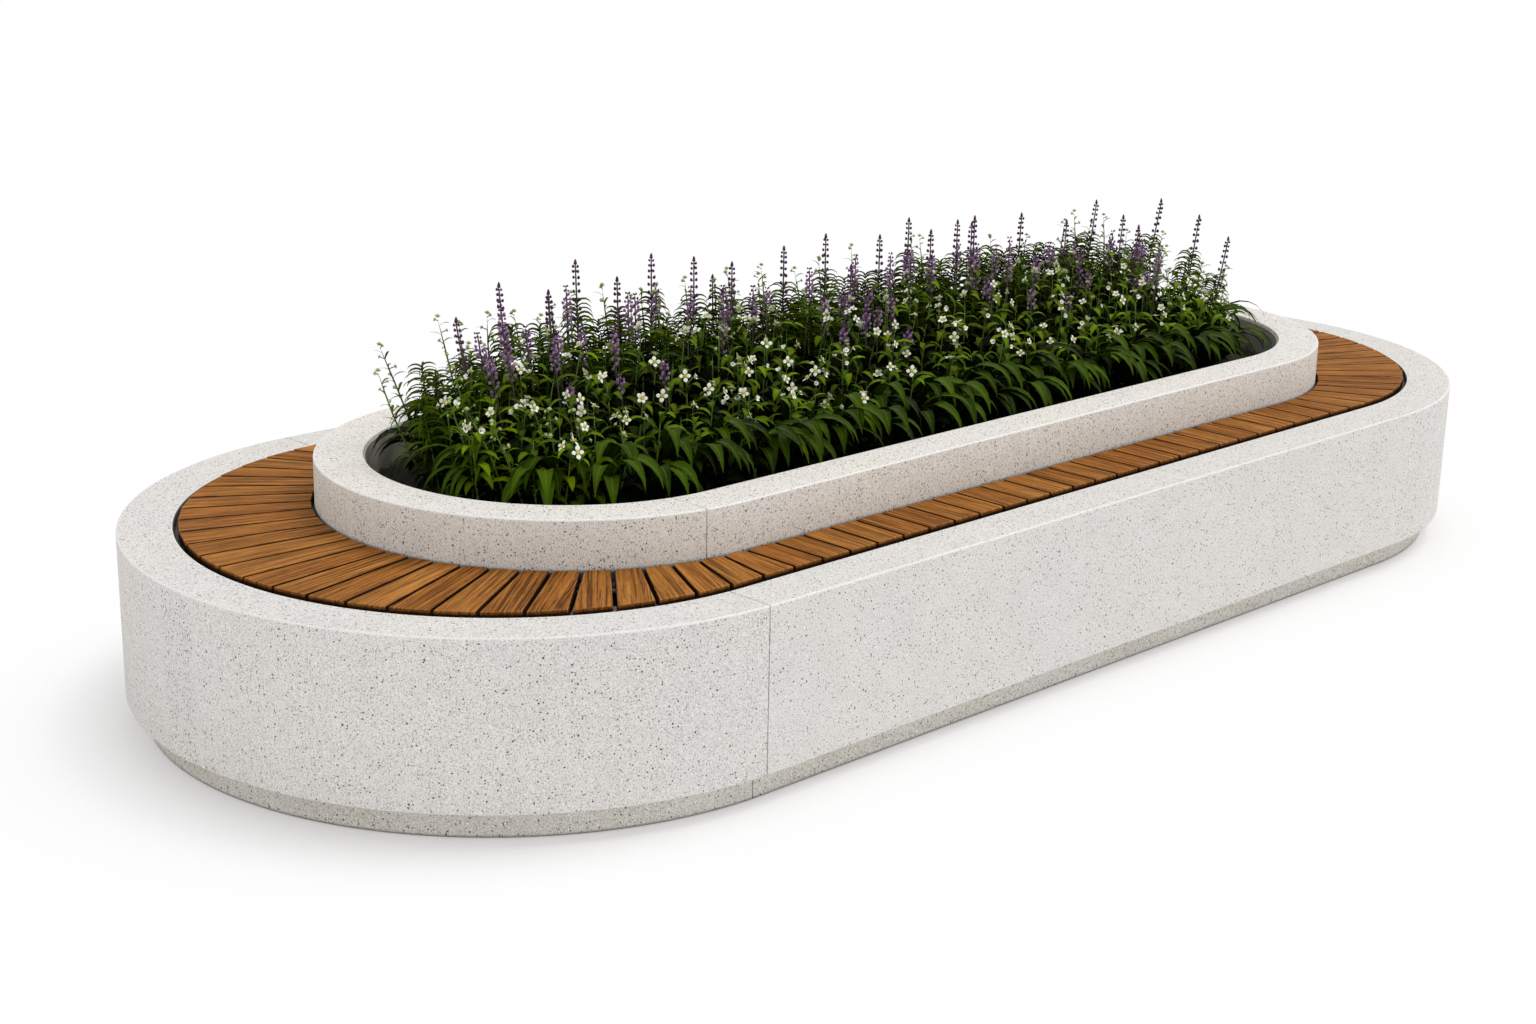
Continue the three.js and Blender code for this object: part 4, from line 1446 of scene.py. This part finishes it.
def budded_spike(bunch, dice, foot, tip, buds, tip_bud, levels):
    """Tall thin stem with pairs of dark buds, smaller and closer towards its tip."""
    plant, down = spike_stem(
        bunch, dice, foot, tip, (0, 0.25, 0.5, 0.75, 0.97, 1),
        [0.0028, 0.0027, 0.0025, 0.0023, 0.0019, 0])
    start = dice.uniform(-1.3, -0.3)
    for level in range(levels):
        at = tip + down * (0.018 + 0.0112 * level + 0.0011 * level ** 2)
        size = 0.66 + 0.4 * level / levels
        turns = [0.0, math.pi]
        if dice.random() < 0.3:
            turns.append(dice.choice((-1, 1)) * math.pi / 2)
        for turn in turns:
            azimuth = start + turn + dice.uniform(-0.3, 0.3)
            bunch.add(dice.choice(buds),
                      set_at(at + down * dice.uniform(-0.001, 0.001), azimuth, 0.0,
                             size * dice.uniform(0.9, 1.1)),
                      dice.random(), plant)
    for index in range(4):
        bunch.add(dice.choice(buds),
                  set_at(tip + down * 0.0115, start + index * math.pi / 2, -0.5, 0.42),
                  dice.random(), plant)
    bunch.add(tip_bud, Matrix.Translation(tip + down * 0.014), dice.random(), plant)


def floret_spike(bunch, dice, foot, tip, buds, florets, faded, length):
    """Spike of small florets: dark buds at its top, open violet ones, then faded ones below."""
    plant, down = spike_stem(
        bunch, dice, foot, tip, (0, 0.3, 0.6, 0.96, 1), [0.0026, 0.0024, 0.0022, 0.0018, 0])
    whorls = int(length / 0.0108)
    fade = dice.uniform(0.42, 0.62)
    for whorl in range(whorls):
        share = whorl / whorls
        grown = min(1.0, share * 3)
        at = tip + down * (0.003 + length * share)
        shapes = buds if share < 0.12 else florets if share < fade else faded
        for index in range(3):
            if dice.random() < share * 0.3:
                continue
            azimuth = index * 2 * math.pi / 3 + whorl * math.pi / 3 + dice.uniform(-0.3, 0.3)
            bunch.add(dice.choice(shapes),
                      set_at(at + sideways(azimuth) * (0.0036 + 0.0042 * grown), azimuth,
                             dice.uniform(0.2, 0.7),
                             (0.62 + 0.38 * grown) * dice.uniform(0.88, 1.12)),
                      dice.random(), plant)


def end_lean(x):
    """How far the stems lean along the bench, which grows towards both ends."""
    return 0.1 * (x / 1.4) ** 3


class BENCH_OT_feathery_plants(bpy.types.Operator):
    """Plant the narrow-leaved plants that fill the rear of the bed"""

    bl_idname = "bench.feathery_plants"
    bl_label = "Feathery plants"

    def execute(self, context):
        planting = context.scene.bench_planting
        dice = random.Random(planting.seed + 3)
        blades = [
            blade("feather_leaf", length, 0.0076, NARROW_WIDTH_SHARES, rise, droop, 0.2, 0.0,
                  bend, columns=1, roll=roll)
            for length, rise, droop, bend, roll in (
                (0.064, 62, -78, 0.8, 50), (0.058, 56, -80, 0.75, -55), (0.07, 64, -72, 0.85, 40),
                (0.061, 60, -76, 0.8, -45))
        ]
        plants = [feather_plant(dice, blades) for _ in range(4)]
        places = [(Vector((x - end_lean(x), y)), z - 0.105 - SOIL_TOP) for x, y, z in TALL_TIPS]
        for spot in jittered(dice, planting.feather_spacing, 0.03, 0.37, PLANTED_RADIUS):
            if all((spot - other).length > 0.058 for other, _ in places):
                behind = max(0.0, spot.y - 0.2)
                height = (canopy_height(*spot) - 0.3 * behind) * dice.uniform(0.86, 1.04)
                places.append((spot, height))
        bunches = defaultdict(Bunch)
        for spot, height in places:
            place = (Matrix.Translation((*spot, PLANT_FOOT))
                     @ Matrix.Rotation(math.atan(end_lean(spot.x) / 0.45), 4, "Y")
                     @ set_at(ORIGIN, dice.uniform(-1.1, -0.5))
                     @ Matrix.Diagonal((1, 1, height / FEATHER_HEIGHT, 1)))
            bunches[third_of(spot.x)].add(
                dice.choice(plants), place, plant_tone=dice.random())
        plant_pieces("feathery_plants", bunches, "purple_spike_planting")
        return {"FINISHED"}


class BENCH_OT_flower_spikes(bpy.types.Operator):
    """Set the tall dark-budded spikes and the violet ones among the feathery plants"""

    bl_idname = "bench.flower_spikes"
    bl_label = "Flower spikes"

    def execute(self, context):
        dice = random.Random(context.scene.bench_planting.seed + 4)
        stalked_buds = [bud_on_stalk(dice) for _ in range(3)]
        tip_bud = knob("dark_bud", 0.004, 0.017)
        buds = [knob("dark_bud", 0.0042, 0.0096, 5, 4)]
        florets, faded = ([knob(finish, radius, 0.0102) for radius in (0.0042, 0.0048)]
                          for finish in ("violet_floret", "faded_floret"))
        spikes = defaultdict(Bunch)
        violets = defaultdict(Bunch)
        for x, y, z in TALL_TIPS:
            foot = Vector((x - end_lean(x), y, PLANT_FOOT))
            budded_spike(
                spikes[third_of(x)], dice, foot, Vector((x, y, z)), stalked_buds, tip_bud, 8)
        for spot in jittered(dice, 0.17, 0.24, 0.40, 0.28):
            tip = Vector((spot.x + end_lean(spot.x), spot.y + 0.01, dice.uniform(0.84, 0.91)))
            if all((tip.xy - Vector((x, y))).length > 0.07 for x, y, z in TALL_TIPS):
                budded_spike(spikes[third_of(spot.x)], dice, Vector((*spot, PLANT_FOOT)), tip,
                             stalked_buds, tip_bud, 6)
        tips = []
        for x, y, z in TALL_TIPS:
            beside = dice.choice((1, 2)) if x < 1.3 else 0
            for _ in range(beside):
                tips.append((x + dice.uniform(-0.08, 0.08), y - dice.uniform(0.0, 0.09),
                             z - dice.uniform(0.03, 0.09), dice.uniform(0.12, 0.17)))
        # Number of spikes, then the ranges of their places across and along, heights and lengths
        for count, across, along, heights, lengths in (
                (18, (0.0, 0.14), (-1.25, 1.3), (0.79, 0.84), (0.08, 0.13)),
                (12, (-0.12, 0.0), (-1.25, 1.25), (0.755, 0.795), (0.05, 0.08))):
            for _ in range(count):
                y = dice.uniform(*across)
                tips.append((dice.uniform(*along), y, dice.uniform(*heights) + 0.25 * y,
                             dice.uniform(*lengths)))
        for x, y, z, length in tips:
            foot = Vector((x - end_lean(x), y, PLANT_FOOT))
            floret_spike(violets[third_of(x)], dice, foot, Vector((x, y, z)), buds, florets,
                         faded, length)
        plant_pieces("dark_spikes", spikes, "purple_spike_planting")
        plant_pieces("violet_spikes", violets, "purple_spike_planting")
        return {"FINISHED"}


class BENCH_OT_pale_stems(bpy.types.Operator):
    """Plant the thin stems with pale star-like buds, most of them at the ends"""

    bl_idname = "bench.pale_stems"
    bl_label = "Pale budded stems"

    def execute(self, context):
        dice = random.Random(context.scene.bench_planting.seed + 5)
        sepal = blade("pale_bud", 0.0078, 0.0046, SEPAL_WIDTH_SHARES, 50, 0, 0.3)
        star = Bunch()
        for index in range(6):
            star.add(sepal, set_at(ORIGIN, index * math.pi / 3), dice.random(), 0.5)
        star.add(knob("pale_bud", 0.0042, 0.0066), None, 0.9, 0.5)
        star_mesh = star.mesh("star_bud")
        leaves = [blade("fresh_leaf", 0.05, 0.008, LANCE_WIDTH_SHARES, 60, -20, 0.3, 0.3)]
        spots = []
        for end in (-1, 1):
            for index in range(15):
                angle = (index - 7) * 0.2 + dice.uniform(-0.08, 0.08)
                reach = dice.uniform(0.12, 0.33)
                spots.append(Vector((end * (PLANTER_STRAIGHT + reach * math.cos(angle)),
                                     reach * math.sin(angle) + 0.04)))
        for _ in range(34):
            spots.append(Vector((dice.uniform(-1.1, 1.1), dice.uniform(-0.02, 0.34))))
        bunches = defaultdict(Bunch)
        for spot in spots:
            end = min(1.0, max(0.0, abs(spot.x) - 1.0) / 0.4)
            foot = Vector((*spot, PLANT_FOOT))
            height = canopy_height(*spot) * dice.uniform(1.05, 1.2)
            lean = Vector((math.copysign(0.02 + 0.13 * end, spot.x), spot.y * 0.15, height))
            bunch = bunches[third_of(spot.x)]
            plant = dice.random()
            path = bowed_path(dice, foot, foot + lean, 0.05, 6)
            leafy_stem(bunch, dice, path, leaves, 16, plant, 0.25, 0.0032)
            bunch.add(star_mesh, set_at(path[-1], 0, 0.2, 1.35), plant_tone=plant)
            for level in range(5):
                at = path_point(path, 0.98 - 0.075 * level)
                azimuth = level * GOLDEN_ANGLE + plant * 6
                reach = sideways(azimuth, 0.45) * (0.008 + 0.003 * level)
                bunch.add(star_mesh,
                          facing(at + reach, reach.normalized(), dice.uniform(0.75, 1.05)),
                          plant_tone=plant)
                bunch.add_stem("green_stem", [at, at + reach * 0.5, at + reach],
                               [0.0014, 0.0012, 0.0014], 0.4, plant, 3)
        plant_pieces("pale_stems", bunches, "purple_spike_planting")
        return {"FINISHED"}


# Stage


class BENCH_PG_stage(bpy.types.PropertyGroup):
    sky: FloatProperty(
        name="Sky", description="Strength of the even light from all round",
        default=0.7, min=0, max=2)
    key: FloatProperty(
        name="Key light", description="Strength of the soft light from the upper right",
        default=1.15, min=0, max=10)
    fill: FloatProperty(
        name="Fill light", description="Strength of the weak light from the front left",
        default=0.22, min=0, max=10)
    key_spread: FloatProperty(
        name="Key spread", description="Apparent size of the key light",
        default=math.radians(32), subtype="ANGLE")
    floor_glow: FloatProperty(
        name="Floor glow",
        description="Share of plain white in what the camera sees of the floor, clear of the bench",
        default=0.85, min=0, max=1)
    foot_glow: FloatProperty(
        name="Foot glow", description="The same share where the floor meets the plinth",
        default=0.26, min=0, max=1)
    glow_reach: FloatProperty(
        name="Glow reach", description="Distance from the plinth over which the share grows",
        default=0.3, min=0.01, max=2, unit="LENGTH")


def camera_sees(look):
    """1 for what the camera sees directly, in a gloss or through glass."""
    rays = look.node("ShaderNodeLightPath").socket.node.outputs
    direct, glossy, through = (
        Pattern(look, rays[f"Is {kind} Ray"]) for kind in ("Camera", "Glossy", "Transmission"))
    return direct.or_higher(glossy).or_higher(through)


def pale_floor(stage):
    """Large floor that catches a soft shadow and is near white to the camera elsewhere."""
    material = bpy.data.materials.new("pale_floor")
    material.use_nodes = True
    look = Look(material.node_tree)
    diffuse = look.node("ShaderNodeBsdfDiffuse", inputs={"Color": (250, 250, 250)})
    glow = look.node("ShaderNodeEmission", inputs={"Color": (255, 255, 255), "Strength": 1.0})
    clear = (look.from_middle(look.place(), WALL_STRAIGHT) - PLINTH_RADIUS).between(
        0, stage.glow_reach)
    share = clear * (stage.floor_glow - stage.foot_glow) + stage.foot_glow
    lit = look.node("ShaderNodeMixShader", inputs={0: share, 1: diffuse, 2: glow})
    shown = look.node("ShaderNodeMixShader", inputs={0: camera_sees(look), 1: diffuse, 2: lit})
    look.node("ShaderNodeOutputMaterial", inputs={"Surface": shown})
    bm = bmesh.new()
    bmesh.ops.create_grid(bm, x_segments=1, y_segments=1, size=60)
    bmesh.ops.translate(bm, verts=bm.verts, vec=(0, 0, -0.0005))
    mesh = Bunch(bm).mesh("floor")
    mesh.materials.append(material)
    floor = bpy.data.objects.new("floor", mesh)
    bpy.context.scene.collection.objects.link(floor)


class BENCH_OT_stage(bpy.types.Operator):
    """Set the pale floor, the soft studio light and the camera"""

    bl_idname = "bench.stage"
    bl_label = "Stage"

    def execute(self, context):
        scene = context.scene
        stage = scene.bench_stage
        scene.view_settings.view_transform = "Standard"
        pale_floor(stage)

        scene.world = bpy.data.worlds.new("studio")
        scene.world.use_nodes = True
        sky = Look(scene.world.node_tree)
        shining = sky.node("ShaderNodeBackground", inputs={
            "Color": (255, 255, 255),
            "Strength": camera_sees(sky) * (1 - stage.sky) + stage.sky})
        sky.node("ShaderNodeOutputWorld", inputs={"Surface": shining})

        for name, energy, towards in (
                ("key", stage.key, Vector((0.62, -0.18, 1.0))),
                ("fill", stage.fill, Vector((-0.6, -0.7, 0.35)))):
            lamp = bpy.data.lights.new(name, "SUN")
            lamp.energy = energy
            lamp.angle = stage.key_spread
            light = bpy.data.objects.new(name, lamp)
            light.rotation_euler = towards.to_track_quat("Z", "Y").to_euler()
            light.location = towards * 4
            scene.collection.objects.link(light)

        camera = bpy.data.cameras.new("camera")
        camera.sensor_width = SENSOR_WIDTH
        camera.lens = FOCAL_LENGTH
        eye = bpy.data.objects.new("camera", camera)
        eye.matrix_world = (
            Matrix.Translation(EYE) @ Matrix.Rotation(-YAW, 4, "Z")
            @ Matrix.Rotation(math.pi / 2 - PITCH, 4, "X") @ Matrix.Rotation(ROLL, 4, "Z"))
        scene.collection.objects.link(eye)
        scene.camera = eye
        return {"FINISHED"}


OPERATORS = (
    BENCH_OT_stage,
    BENCH_OT_cast_sections,
    BENCH_OT_fittings,
    BENCH_OT_slats,
    BENCH_OT_straps,
    BENCH_OT_liner,
    BENCH_OT_soil,
    BENCH_OT_strap_leaves,
    BENCH_OT_undergrowth,
    BENCH_OT_flower_plants,
    BENCH_OT_feathery_plants,
    BENCH_OT_flower_spikes,
    BENCH_OT_pale_stems,
)

SETTINGS = {
    "bench_stonework": BENCH_PG_stonework,
    "bench_seat": BENCH_PG_seat,
    "bench_planting": BENCH_PG_planting,
    "bench_stage": BENCH_PG_stage,
}


class BENCH_PT_panel(bpy.types.Panel):
    """Sizes of the bench and the steps that build it"""

    bl_idname = "BENCH_PT_panel"
    bl_label = "Bench with planter"
    bl_space_type = "VIEW_3D"
    bl_region_type = "UI"
    bl_category = "Bench"

    def draw(self, context):
        for name, group in SETTINGS.items():
            box = self.layout.box()
            for setting in group.__annotations__:
                box.prop(getattr(context.scene, name), setting)
        for operator in OPERATORS:
            self.layout.operator(operator.bl_idname)


CLASSES = (*SETTINGS.values(), *OPERATORS, BENCH_PT_panel)


def register():
    for made in CLASSES:
        bpy.utils.register_class(made)
    for name, group in SETTINGS.items():
        setattr(bpy.types.Scene, name, PointerProperty(type=group))


def unregister():
    for name in SETTINGS:
        delattr(bpy.types.Scene, name)
    for made in reversed(CLASSES):
        bpy.utils.unregister_class(made)


def main():
    register()
    bpy.ops.bench.stage()
    bpy.ops.bench.cast_sections()
    bpy.ops.bench.fittings()
    bpy.ops.bench.slats()
    bpy.ops.bench.straps()
    bpy.ops.bench.liner()
    bpy.ops.bench.soil()
    bpy.ops.bench.strap_leaves()
    bpy.ops.bench.undergrowth()
    bpy.ops.bench.flower_plants()
    bpy.ops.bench.feathery_plants()
    bpy.ops.bench.flower_spikes()
    bpy.ops.bench.pale_stems()


if __name__ == "__main__":
    main()
